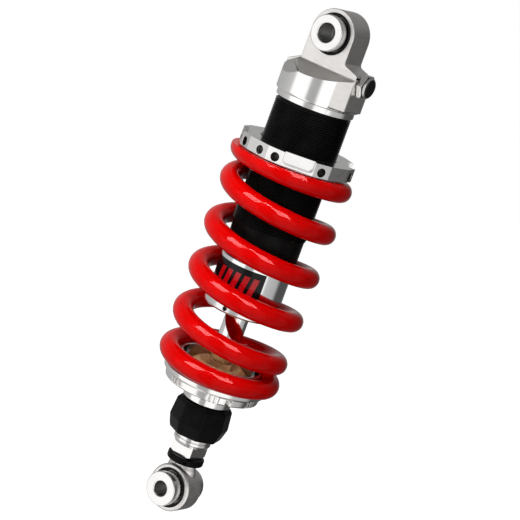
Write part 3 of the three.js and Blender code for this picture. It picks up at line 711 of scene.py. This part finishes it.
def head_drum():
    """The round of the head, with flat flanks that run from it to the lug."""
    drum = turned("drum", [
        (0, HEAD_BOTTOM - 0.5), (HEAD_RADIUS - 0.6, HEAD_BOTTOM - 0.5), (HEAD_RADIUS, HEAD_BOTTOM + 0.6),
        (HEAD_RADIUS, 0), (0, 0)], 0.4)
    corner = math.hypot(LUG_X, EYE_HALF_WIDTH)
    touch = math.atan2(EYE_HALF_WIDTH, LUG_X) + math.acos(HEAD_RADIUS / corner)
    x, y = HEAD_RADIUS * math.cos(touch), HEAD_RADIUS * math.sin(touch)
    outline = [(0, 0), (x, -y), (LUG_X, -EYE_HALF_WIDTH), (LUG_X, EYE_HALF_WIDTH), (x, y)]
    flanks = prism("flanks", outline, HEAD_BOTTOM + 0.8, 0)
    return combined(drum, [flanks], "UNION")


def eye_bore():
    """A drill for the bearing's hole in an eye, along Y."""
    return moved(revolve("bore", [(0, -20), (EYE_BORE, -20), (EYE_BORE, 20), (0, 20)]), turn(90, "X"))


def head_casting():
    """The eye's plate with its shoulder and lug, standing on the end of the body."""
    tube_end, pocket_floor, pocket_radius = -38.7, 17, 5.3
    plate = upright("head_casting", head_outline(), EYE_HALF_WIDTH)
    body = combined(head_gable(), [head_drum()], "INTERSECT")
    rim = turned("rim", [
        (0, RIM_BOTTOM), (RIM_RADIUS, RIM_BOTTOM), (RIM_RADIUS, HEAD_BOTTOM - 0.3),
        (RIM_RADIUS - 0.5, HEAD_BOTTOM + 0.3), (0, HEAD_BOTTOM + 0.3)], 0.5)
    head = combined(plate, [body, rim], "UNION")
    tube = revolve("tube", [(0, RIM_BOTTOM - 1), (SLEEVE_BORE, RIM_BOTTOM - 1), (SLEEVE_BORE, tube_end),
                            (0, tube_end)])
    pocket = revolve("pocket", [(0, pocket_floor), (pocket_radius, pocket_floor), (pocket_radius, LUG_X + 2),
                                (0, LUG_X + 2)], 48)
    moved(pocket, turn(90, "Y"), shift(0, 0, VALVE_Z))
    combined(head, [eye_bore(), tube, pocket])
    softened(head, 0.55)
    placed(head, "head_casting")

    def is_turned(x, y, z):
        return z < HEAD_BOTTOM + 0.7 or abs(math.hypot(x, y) - HEAD_RADIUS) < 0.06

    recoated(head, is_turned, "turned_alloy")


def gas_valve_body():
    """The hexagon of the gas valve, with the tube that its cap stands on."""
    tube_bore, tube_radius, across, corner, floor = 2.2, 5, 7.9, 8.6, 18
    inner, outer = LUG_X + 0.3, LUG_X + 4.1
    hexagon = polygon_share(6, 0.0, 60)
    outline = rounded([
        (tube_bore, floor, 0), (tube_radius, floor, 0), (tube_radius, inner, 0), (across, inner, 1),
        (corner, inner + 0.6, 1), (corner, outer - 0.6, 1), (across, outer, 1), (3.6, outer, 0),
        (3.6, outer + 0.9, 0), (tube_bore, outer + 0.9, 0)], 0.25)
    body = revolve("gas_valve_body", outline, SMALL_ROUND, hexagon)
    chamfers = revolve("chamfers", [
        (0, floor - 1), (7.6, floor - 1), (7.6, inner - 0.1), (9.2, inner + 0.8), (9.2, outer - 1.1),
        (7.1, outer + 0.02), (4, outer + 0.02), (4, outer + 2), (0, outer + 2)])
    combined(body, [chamfers], "INTERSECT")
    placed(moved(body, turn(90, "Y"), shift(0, 0, VALVE_Z)), "gas_valve_body")


def gas_valve_cap():
    """A gloss black screw cap whose rim gets a bare steel finish: a painted highlight round the rim."""
    start, radius = low("gas_valve_cap").x, 6.9
    outline = rounded([
        (3.9, start), (radius, start), (radius, start + 0.6), (6.2, start + 1.5), (4.4, start + 2.1),
        (0, start + 2.4), (0, start + 1.2), (3.9, start + 1.2)], 0.7, 6)
    cap = revolve("gas_valve_cap", outline, SMALL_ROUND)
    placed(moved(cap, turn(90, "Y"), shift(0, 0, VALVE_Z)), "gas_valve_cap", FINISHES["gloss_black"])
    # painted highlight: the rim's faces get the lighter steel finish
    recoated(cap, lambda x, y, z: math.hypot(y, z - VALVE_Z) > radius - 1 and x > start + 0.4, "steel")


def lower_eye():
    """The eye of the rod end, with the waisted neck that its stud leaves from."""
    half, neck_bottom, neck_top = LOWER_HALF_WIDTH, -308, low("lock_nut").z - 0.3
    housing = turned("lower_eye", [
        (0, -half), (EYE_RADIUS - 1.1, -half), (EYE_RADIUS, -half + 1.1), (EYE_RADIUS, half - 1.1),
        (EYE_RADIUS - 1.1, half), (0, half)], 0.5)
    moved(housing, turn(90, "X"), shift(0, 0, -EYE_TO_EYE))
    neck = revolve("neck", rounded([
        (0, neck_bottom), (11.2, neck_bottom), (10.6, -301.5), (9.4, -299), (9.2, neck_top),
        (0, neck_top)], 0.9, 6))
    neck_flatness = 0.62
    moved(neck, Matrix.Diagonal((1.0, neck_flatness, 1.0, 1.0)))
    eye = combined(housing, [neck], "UNION")
    combined(eye, [moved(eye_bore(), shift(0, 0, -EYE_TO_EYE))])
    placed(softened(eye, 0.45), "lower_eye")


def lower_stud():
    """The stud of the lower eye, which shows below the hexagon when the length is set longer."""
    core, crest = 5.1, 5.98
    start, end = low("lock_nut").z - 0.8, high("lower_eye").z
    stud = threaded("lower_stud", core, crest, start, end, sides=48, root=core)
    placed(stud, "lower_eye", stands=False)


def spacer(prefix, side, angle, z, head_in, end):
    """A spacer: a sleeve in the ball, a neck in the seal and a head outside the eye."""
    bolt, neck, radius = BOLT_RADIUS[prefix], SPACER_NECK, high(f"{prefix}_spacer_front").x
    outline = [
        (bolt, 0.2), (bolt + 1.3, 0.2), (bolt + 1.3, 5.7), (9, 5.7), (neck, 6.0), (neck, head_in),
        (radius, head_in + 0.3), (radius, end - 0.5), (radius - 0.5, end), (bolt + 0.6, end),
        (bolt, end - 0.6)]
    made = turned(f"{prefix}_spacer_{side}", outline, 0.4, SMALL_ROUND)
    placed(moved(made, turn(angle, "X"), shift(0, 0, z)), f"{prefix}_spacer_{side}")
    # painted shade: the bore's faces get the darker steel finish, to darken the inside of the bore
    recoated(made, lambda x, y, height: math.hypot(x, height - z) < bolt + 0.15, "steel")


def dust_seal(prefix, side, angle, z, outer):
    """A flat seal round the spacer's neck, with a groove near its rim."""
    bore, rim, inner = SPACER_NECK + 1.1, 12.8, 5.8
    outline = [
        (bore, inner), (rim, inner), (rim, outer), (12.4, outer), (12.2, outer - 0.35), (11.9, outer),
        (bore, outer - 0.2)]
    made = turned(f"{prefix}_dust_seal_{side}", outline, 0.2, SMALL_ROUND)
    placed(moved(made, turn(angle, "X"), shift(0, 0, z)), f"{prefix}_dust_seal_{side}")


def eye_bearings():
    """The spacers and seals on both sides of both eyes."""
    for prefix, z, half_width in (("upper", 0.0, EYE_HALF_WIDTH), ("lower", -EYE_TO_EYE, LOWER_HALF_WIDTH)):
        spacer_end = high(f"{prefix}_spacer_back").y
        for side, angle in (("front", 90), ("back", -90)):
            spacer(prefix, side, angle, z, half_width + 0.9, spacer_end)
            dust_seal(prefix, side, angle, z, half_width - 0.5)


# ---- body, tube and cap
THREAD_RADIUS = high("threaded_sleeve").x
THREAD_END = -132.6
SLEEVE_BOTTOM = low("threaded_sleeve").z
SLEEVE_TOP = high("threaded_sleeve").z
TUBE_RADIUS = high("damper_tube").x


def threaded_sleeve():
    """The threaded part of the body, and its plain collar below the thread."""
    relief, collar_radius = THREAD_RADIUS - 1.0, TUBE_RADIUS + 0.1
    sleeve = threaded("threaded_sleeve", relief, THREAD_RADIUS, THREAD_END, SLEEVE_TOP, SLEEVE_BORE)
    collar = turned("collar", [
        (SLEEVE_BORE, SLEEVE_BOTTOM), (collar_radius, SLEEVE_BOTTOM), (collar_radius, THREAD_END + 0.4),
        (SLEEVE_BORE, THREAD_END + 0.4)], 0.5)
    placed(joined(sleeve, [collar]), "threaded_sleeve")


def damper_tube():
    """The chromed tube, thinner where it goes up into the sleeve."""
    bore, neck, shoulder = 20.5, 22, SLEEVE_BOTTOM - 0.3
    top, end = heights("damper_tube")
    tube = turned("damper_tube", [
        (bore, top), (neck, top), (neck, shoulder), (TUBE_RADIUS, shoulder), (TUBE_RADIUS, end),
        (bore, end)], 0.5)
    placed(tube, "damper_tube", FINISHES["chrome"])


def bottom_cap():
    """The cap round the end of the tube, with three blind holes for a spanner."""
    (start, end), outer = heights("bottom_cap"), high("bottom_cap").x
    bore, lip_bore = 12.3, 10
    cap = turned("bottom_cap", [
        (bore, start), (outer - 0.5, start), (outer, start - 0.5), (outer, end + 1.0), (outer - 1.0, end),
        (lip_bore, end), (lip_bore, end + 1.5), (bore, end + 1.5)], 0.35)
    holes = [radial_hole(1.5, 21.5, 30, (start + end) / 2, azimuth) for azimuth in (9, 129, 249)]
    placed(softened(combined(cap, holes), 0.15, 40, 2), "bottom_cap")
    # painted shade: the walls and floors of the spanner holes get the dark steel finish
    recoated(cap, lambda x, y, z: 20.5 < math.hypot(x, y) < outer - 0.3 and end + 1.2 < z < start - 1.2)


def rod_wiper():
    """The seal round the rod, with a lip below the cap."""
    (start, end), bore, lip_start = heights("rod_wiper"), 8.3, -186.7
    wiper = turned("rod_wiper", [
        (bore, start), (12, start), (12, lip_start), (9.7, lip_start), (9.5, end + 0.5), (bore, end)],
        0.25, SMALL_ROUND)
    placed(wiper, "rod_wiper")


def piston_rod():
    """The rod, with its thinner end in the piston."""
    top, bottom = heights("piston_rod")
    radius, neck, shoulder = 8, 5, -157.5
    rod = turned("piston_rod", [
        (0, bottom), (radius, bottom), (radius, shoulder), (neck, shoulder), (neck, top), (0, top)],
        0.4, SMALL_ROUND)
    placed(rod, "piston_rod")


def wrapped(name, start, end, top, bottom, lift, slant, steps):
    """A thin patch on the tube between two azimuths in degrees, with its foot slant degrees behind."""
    inner, outer = TUBE_RADIUS + 0.02, TUBE_RADIUS + lift
    vertices = []
    for i in range(steps + 1):
        share = i / steps
        at_top = math.radians(start + (end - start) * share)
        at_foot = math.radians(start - slant + (end - start) * share)
        for radius, azimuth, z in ((inner, at_foot, bottom), (outer, at_foot, bottom),
                                   (outer, at_top, top), (inner, at_top, top)):
            vertices.append((*polar(radius, azimuth), z))
    return mesh_object(name, vertices, tube_faces(steps + 1, 4))


def decal():
    """A black label with plain slanted red bars on the tube."""
    label = wrapped("tube_label", -88, 53, SLEEVE_BOTTOM - 3.0, -178.5, 0.08, 0.0, 96)
    placed(label, "damper_tube", LABEL_BLACK, stands=False)
    bar_width, bar_top, bar_bottom, slant = 9, -160.5, -173.5, 5.0
    bars = [wrapped("tube_decal", start, start + bar_width, bar_top, bar_bottom, 0.14, slant, 12)
            for start in (-24, -9, 6, 21, 36)]
    placed(joined(bars[0], bars[1:]), "damper_tube", RED_VINYL, stands=False)


# ---- preload ring and washer
RING_NOTCHES = 4
NOTCH_PITCH = 360 / RING_NOTCHES
NOTCHES = [36.0 + NOTCH_PITCH * i for i in range(RING_NOTCHES)]
RING_RADIUS = 38.6
PIN_HOLE_OFFSET, PIN_HOLE_RADIUS, PIN_HOLE_Z = 23.6, 2.9, -80.5
LOCK_SCREW_AZIMUTH = -6.0


def ring_outline():
    """Sixteen corners: a flat across each notch, one at each pin hole and one halfway between the notches."""
    near, far = 15.5, 32.4
    return [polar(RING_RADIUS, math.radians(centre + offset))
            for centre in NOTCHES for offset in (-far, -near, near, far)]


def notch_tool(azimuth, bottom, top):
    """A cutter for one notch, with rounded corners at its floor."""
    floor, corner, half, back, reach = bottom + 1.2, 3.0, 10.0, 33.0, 10
    left = [(x - half + corner, z + floor + corner) for x, z in arc(corner, 180, 270, 8)]
    right = [(x + half - corner, z + floor + corner) for x, z in arc(corner, 270, 360, 8)]
    tool = upright("notch", [(-half, top + 1), *left, *right, (half, top + 1)], reach)
    return moved(tool, shift(0, -back - reach, 0), turn(azimuth, "Z"))


def is_in_pin_hole(x, y, z):
    azimuth = math.degrees(math.atan2(x, -y)) - NOTCHES[0]
    aside = abs(abs((azimuth + NOTCH_PITCH / 2) % NOTCH_PITCH - NOTCH_PITCH / 2) - PIN_HOLE_OFFSET)
    radius = math.hypot(x, y)
    across = math.hypot(radius * math.sin(math.radians(aside)), z - PIN_HOLE_Z)
    return 29 < radius < 37.4 and across < PIN_HOLE_RADIUS + 0.1


def preload_ring():
    """The notched ring, with a pair of pin holes beside each notch and the lock screw's hole."""
    top, bottom = heights("preload_ring")
    bore, lead_in, outside = THREAD_RADIUS + 0.3, 1.4, 45
    ring = prism("preload_ring", ring_outline(), bottom, top)
    tools = [revolve("centre", [
        (0, bottom - 1), (bore, bottom - 1), (bore, top - 1), (bore + lead_in, top + 0.4), (0, top + 0.4)])]
    for centre in NOTCHES:
        tools.append(notch_tool(centre, bottom, top))
        for offset in (-PIN_HOLE_OFFSET, PIN_HOLE_OFFSET):
            tools.append(radial_hole(PIN_HOLE_RADIUS, 30, outside, PIN_HOLE_Z, centre + offset))
    tools.append(radial_hole(2.8, 27, outside, PIN_HOLE_Z, LOCK_SCREW_AZIMUTH))
    combined(ring, tools)
    placed(softened(ring, 0.12, 14, 2), "preload_ring", smooth=16)
    # painted shade: the faces inside the pin holes get the dark steel
    recoated(ring, is_in_pin_hole, "painted_shade_steel")


def thrust_washer():
    """The washer between the ring and the spring."""
    (start, end), bore, radius = heights("thrust_washer"), 28.4, 36
    outline = [(bore, start), (radius, start), (radius, end), (bore, end)]
    placed(turned("thrust_washer", outline, 0.15), "thrust_washer")


# ---- spring
FIRST_TURN, LAST_TURN = -0.6, 5.6
TURN_ZERO = math.radians(31)
END_PITCH, ACTIVE_PITCH = 4.1, 30.5
OPENING, CLOSING = (-0.3, 0.6), (4.085, 5.285)
STILL_TURN, CARRIED_TURN = 0.22, 5.25
SPRING_START_Z = -85.9
SPRING_RADIUS, WIRE_RADIUS = 35.1, 6.65
SPRING_TOP, SPRING_BOTTOM = heights("spring")


def smooth_rise(turn_number, start, end):
    """Grows from 0 at start, and by 1 per turn past end."""
    t = min(max((turn_number - start) / (end - start), 0.0), 1.0)
    return (end - start) * (t ** 3 - t ** 4 / 2) + max(0.0, turn_number - end)


def wire_height(turn_number):
    opened = smooth_rise(turn_number, *OPENING) - smooth_rise(turn_number, *CLOSING)
    return SPRING_START_Z - END_PITCH * (turn_number - FIRST_TURN) - (ACTIVE_PITCH - END_PITCH) * opened


def wire_ring(turn_number, radius, sides):
    """The middle of the wire at a place along the coil, and the points of its section there."""
    azimuth, step = TURN_ZERO + math.tau * turn_number, 0.01
    centre = Vector((*polar(SPRING_RADIUS, azimuth), wire_height(turn_number)))
    rise = wire_height(turn_number + step) - wire_height(turn_number - step)
    slope = rise / (2 * step) / (math.tau * SPRING_RADIUS)
    outward = Vector((math.sin(azimuth), -math.cos(azimuth), 0.0))
    along = Vector((math.cos(azimuth), math.sin(azimuth), slope)).normalized()
    upward = along.cross(outward).normalized()
    angles = [math.tau * k / sides for k in range(sides)]
    return centre, [centre + (outward * math.cos(a) + upward * math.sin(a)) * radius for a in angles]


def spring():
    """The coil, with its end faces ground flat. Each ring of the wire has one share of the motion, so that
    the wire stays round and the pitch closes evenly."""
    per_turn, sides = 60, 28
    steps = int(round(per_turn * (LAST_TURN - FIRST_TURN)))
    rounding = {0: 0.5, 1: 0.12}
    still, carried = wire_height(STILL_TURN), wire_height(CARRIED_TURN)
    vertices, weights = [], []
    for i in range(steps + 1):
        radius = WIRE_RADIUS - rounding.get(min(i, steps - i), 0.0)
        centre, points = wire_ring(FIRST_TURN + i / per_turn, radius, sides)
        for point in points:
            point.z = min(max(point.z, SPRING_BOTTOM), SPRING_TOP)
        vertices += points
        weights += [min(max((still - centre.z) / (still - carried), 0.0), 1.0)] * sides
    coil = mesh_object("coil_spring", vertices, tube_faces(steps + 1, sides))
    mesh = coil.data
    mesh.polygons.foreach_set("use_smooth", [True] * len(mesh.polygons))
    mesh.set_sharp_from_angle(angle=math.radians(38))
    mesh.materials.append(FINISHES["red_coat"])
    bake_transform(coil, "damper_body", "rod_assembly", (0, 0, SPRING_TOP * MM), (0, 0, SPRING_BOTTOM * MM))
    mesh.attributes["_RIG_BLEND"].data.foreach_set("value", np.array(weights, np.float32))
    follow_washer(coil, weights)
    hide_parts("spring")


def follow_washer(coil, weights):
    """The preload washer moves each vertex by the share that its weight leaves."""
    group = coil.vertex_groups.new(name="preload")
    for index, weight in enumerate(weights):
        group.add([index], 1.0 - weight, "REPLACE")
    hook = coil.modifiers.new("preload", "HOOK")
    hook.object = frame["bodies"]["preload_washer"]
    hook.vertex_group = "preload"
    hook.matrix_inverse = Matrix.Identity(4)


# ---- seat, bump stop, knob and rod end
SPLINE_GROUPS = 7
FIRST_GROUP, SPLINE_OFFSETS = 37.2, (-5.6, 0, 5.6)
SEAT_SLOT_AZIMUTH = 56.6
FITTING_BORE = 8.3    # the rod's bore in the seat, the knob and the fitting
STUD_BORE = 6.3


def lower_seat():
    """The spring's seat: a flange with a lip inside the coil, and a splined skirt with one open slot."""
    top, (rim, bottom) = SPRING_BOTTOM - 0.3, heights("lower_spring_seat")
    flange, floor, skirt, skirt_top = high("lower_spring_seat").x, -240.0, -244.6, -239.2
    hub, lip, lip_bore = 16.3, 27.6, 25.5
    seat = turned("lower_spring_seat", [
        (FITTING_BORE, bottom), (hub - 1.1, bottom), (hub, bottom + 1.1), (hub, skirt - 0.6), (17, skirt),
        (30.8, skirt), (31.8, skirt + 0.8), (32.7, skirt_top), (flange, top - 3.1), (flange, top - 0.5),
        (flange - 0.5, top), (lip, top), (lip, rim - 0.6), (lip - 0.6, rim), (lip_bore + 0.6, rim),
        (lip_bore, rim - 0.7), (lip_bore, floor), (FITTING_BORE, floor)], 0.5)
    tools = []
    for i in range(SPLINE_GROUPS):
        for offset in SPLINE_OFFSETS:
            azimuth = FIRST_GROUP + 360 / SPLINE_GROUPS * i + offset
            groove = block("groove", (30.6, -0.9, skirt - 1), (40, 0.9, skirt_top - 0.4))
            tools.append(moved(groove, turn(azimuth - 90, "Z")))
    slot = block("slot", (17.5, -2.1, skirt - 1), (45, 2.1, top - 3.1))
    tools.append(moved(slot, turn(SEAT_SLOT_AZIMUTH - 90, "Z")))
    placed(softened(combined(seat, tools), 0.3, 35, 2), "lower_spring_seat")


def bump_stop():
    """The urethane stop, dished at the top and lower than its CAD piece."""
    lowering, bore = 5.2, 8.6
    top, bottom = high("bump_stop").z - lowering, low("bump_stop").z
    stop = turned("bump_stop", [
        (bore, bottom), (22, bottom), (22.4, bottom + 2), (21.4, bottom + 6), (18.6, top - 3),
        (15, top - 0.3), (14, top), (13, top - 0.4), (9.4, top - 2.4), (bore, top - 3)], 0.7)
    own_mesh(placed(stop, "bump_stop"))


def knob():
    """The rebound knob, an octagon whose corners are softened."""
    (top, bottom), widest, recess = heights("rebound_knob"), -268.6, 11.3
    octagon = polygon_share(8, math.radians(-6), 90)
    outline = rounded([
        (recess, bottom, 0), (17.2, bottom, 1), (18.3, bottom + 2.4, 1), (20.2, widest, 1),
        (19, top - 2.2, 1), (17.3, top, 1), (FITTING_BORE, top, 0), (FITTING_BORE, top - 2.4, 0),
        (recess, top - 2.4, 0)], 0.6, 5)
    placed(revolve("rebound_knob", outline, 240, octagon), "rebound_knob")


def rod_end_fitting():
    """The fitting on the rod: a grooved collar above a square for a spanner."""
    top, bottom, square_top = low("rebound_knob").z - 0.3, low("rod_end_fitting").z, -282.9
    radius, square_corner, neck, neck_top, rod_end = 12.6, 12.1, 11, -262, -274.3
    groove = (top + square_top) / 2
    collar = turned("rod_end_fitting", [
        (STUD_BORE, square_top - 2), (neck, square_top - 2), (12.2, square_top), (radius, square_top + 0.5),
        (radius, groove - 0.5), (11.9, groove), (radius, groove + 0.5), (radius, top - 0.5), (12.1, top),
        (neck, top), (neck, neck_top), (FITTING_BORE, neck_top), (FITTING_BORE, rod_end),
        (STUD_BORE, rod_end)], 0.25)
    corners = [polar(square_corner, math.radians(44 + 90 * i)) for i in range(4)]
    square = prism("flats", corners, bottom, square_top - 0.2)
    chamfered = revolve("chamfered", [
        (0, bottom), (10, bottom), (square_corner, bottom + 1.4), (13, square_top), (0, square_top)])
    bore = revolve("bore", [
        (0, bottom - 1), (STUD_BORE, bottom - 1), (STUD_BORE, -276), (0, -276)], SMALL_ROUND)
    combined(square, [chamfered], "INTERSECT")
    combined(square, [bore])
    placed(softened(combined(collar, [square], "UNION"), 0.1, 35, 2), "rod_end_fitting")


def lock_nut():
    """The round nut under the square, with four blind holes for a pin."""
    (start, end), radius = heights("lock_nut"), 12.4
    nut = turned("lock_nut", [
        (STUD_BORE, end), (radius - 0.7, end), (radius, end + 0.7), (radius, start - 0.5),
        (radius - 0.5, start), (STUD_BORE, start)], 0.35)
    holes = [radial_hole(1.2, 9.6, 14, (start + end) / 2, 125 + 90 * i, 24) for i in range(4)]
    placed(softened(combined(nut, holes), 0.15, 40, 2), "lock_nut")


for build in (
        head_casting, gas_valve_body, gas_valve_cap, lower_eye, lower_stud, eye_bearings, threaded_sleeve,
        damper_tube, bottom_cap, rod_wiper, piston_rod, decal, preload_ring, thrust_washer, spring,
        lower_seat, bump_stop, knob, rod_end_fitting, lock_nut):
    build()


# ---- floor, light and background
LAMP_DISTANCE = 1.2
LACQUERED_PIECES = ("coil_spring", "gas_valve_cap")


def area_light(name, azimuth, elevation, size, radiance):
    """A rectangular lamp at an azimuth from the view and an elevation, facing the middle of the object."""
    data = bpy.data.lights.new(name, "AREA")
    data.shape = "RECTANGLE"
    data.size, data.size_y = size
    data.energy = radiance * math.pi * size[0] * size[1]
    lamp = bpy.data.objects.new(name, data)
    scene.collection.objects.link(lamp)
    towards = direction(VIEW_AZIMUTH + math.radians(azimuth), math.radians(elevation))
    lamp.location = Vector((0, 0, VIEW_HEIGHT)) + towards * LAMP_DISTANCE
    lamp.rotation_mode = "QUATERNION"
    lamp.rotation_quaternion = (-towards).to_track_quat("-Z", "Y")
    lamp.visible_camera = False
    return lamp


def add_lamps():
    """The highlights fall on the lacquered pieces only, since the metals mirror the panels of the studio.
    The key lamp models the matt pieces and makes no highlight."""
    highlights = [
        area_light("left_box", -51, 48, (0.6, 0.8), 28.0),
        area_light("right_box", 23.5, 48, (0.52, 0.8), 28.0),
        area_light("top_spot", -9, 72, (0.16, 0.16), 60.0),
    ]
    receivers = bpy.data.collections.new("lacquered")
    for name in LACQUERED_PIECES:
        receivers.objects.link(bpy.data.objects[name])
    for lamp in highlights:
        lamp.light_linking.receiver_collection = receivers
        lamp.visible_diffuse = False
    key = area_light("key", -38, 42, (0.8, 0.8), 7.0)
    key.visible_glossy = False


add_lamps()

# brightness of the studio near the horizon, by azimuth from the view in degrees
HORIZON = [(-180, 0.4), (-112, 0.5), (-82, 0.6), (-75, 1.2), (-33, 1.2), (-28, 0.48), (-5, 0.42), (2, 1.2),
           (42, 1.2), (54, 0.55), (88, 0.45), (102, 0.08), (150, 0.08), (180, 0.4)]
OVERHEAD = 0.25       # brightness of the studio's ceiling
WALL_TOP, CEILING_START = 0.25, 0.55      # sines of elevations
DIFFUSE_SHARE = 0.62  # share of the studio's light that matt surfaces get


def background():
    """A studio of bright and dark panels round the object, plain white to the camera."""
    world = bpy.data.worlds.new("studio")
    scene.world = world
    world.use_nodes = True
    tree = world.node_tree
    towards = add_node(tree, "ShaderNodeTexCoord").outputs["Generated"]

    def math_node(operation, *values):
        return add_node(tree, "ShaderNodeMath", dict(enumerate(values)), operation=operation).outputs[0]

    def along(vector):
        inputs = {0: towards, 1: vector}
        return add_node(tree, "ShaderNodeVectorMath", inputs, operation="DOT_PRODUCT").outputs["Value"]

    front = along(direction(VIEW_AZIMUTH, 0.0))
    right = along((math.cos(VIEW_AZIMUTH), math.sin(VIEW_AZIMUTH), 0.0))
    azimuth = math_node("ARCTAN2", right, front)
    ramp = add_node(tree, "ShaderNodeValToRGB", {0: math_node("MULTIPLY_ADD", azimuth, 1 / math.tau, 0.5)})
    elements = ramp.color_ramp.elements
    for i, (degrees, tone) in enumerate(HORIZON):
        element = elements[i] if i < 2 else elements.new(degrees / 360 + 0.5)
        element.position = degrees / 360 + 0.5
        element.color = (tone, tone, tone, 1.0)
    limits = {"Value": along((0.0, 0.0, 1.0)), "From Min": WALL_TOP, "From Max": CEILING_START}
    ceiling = add_node(tree, "ShaderNodeMapRange", limits, interpolation_type="SMOOTHSTEP").outputs[0]
    walls = math_node("MULTIPLY", ramp.outputs["Color"], math_node("SUBTRACT", 1.0, ceiling))
    tone = math_node("MULTIPLY_ADD", ceiling, OVERHEAD, walls)
    path = add_node(tree, "ShaderNodeLightPath")
    dimming = math_node("MULTIPLY_ADD", path.outputs["Is Diffuse Ray"], DIFFUSE_SHARE - 1.0, 1.0)
    tone = math_node("MULTIPLY", tone, dimming)
    camera_ray = path.outputs["Is Camera Ray"]
    tone = math_node("MULTIPLY_ADD", tone, math_node("SUBTRACT", 1.0, camera_ray), camera_ray)
    tree.links.new(tone, tree.nodes["Background"].inputs["Color"])


background()


def floor():
    """A large pale floor below the hanging object. It isn't mirrored in the metal."""
    size, drop = 40.0, 0.25
    height = cad_box[0][2] - drop
    mesh = bpy.data.meshes.new("floor")
    corners = [(-size, -size, height), (size, -size, height), (size, size, height), (-size, size, height)]
    mesh.from_pydata(corners, [], [[0, 1, 2, 3]])
    made = bpy.data.objects.new("floor", mesh)
    scene.collection.objects.link(made)
    made.visible_glossy = False
    made.visible_diffuse = False
    pale = Nodes("pale_floor").set(
        Roughness=0.9, Base_Color=(0.95, 0.95, 0.95, 1.0), Emission_Color=(1.0, 1.0, 1.0, 1.0),
        Emission_Strength=0.8)
    mesh.materials.append(pale.material)


floor()
scene.view_settings.view_transform = "Standard"
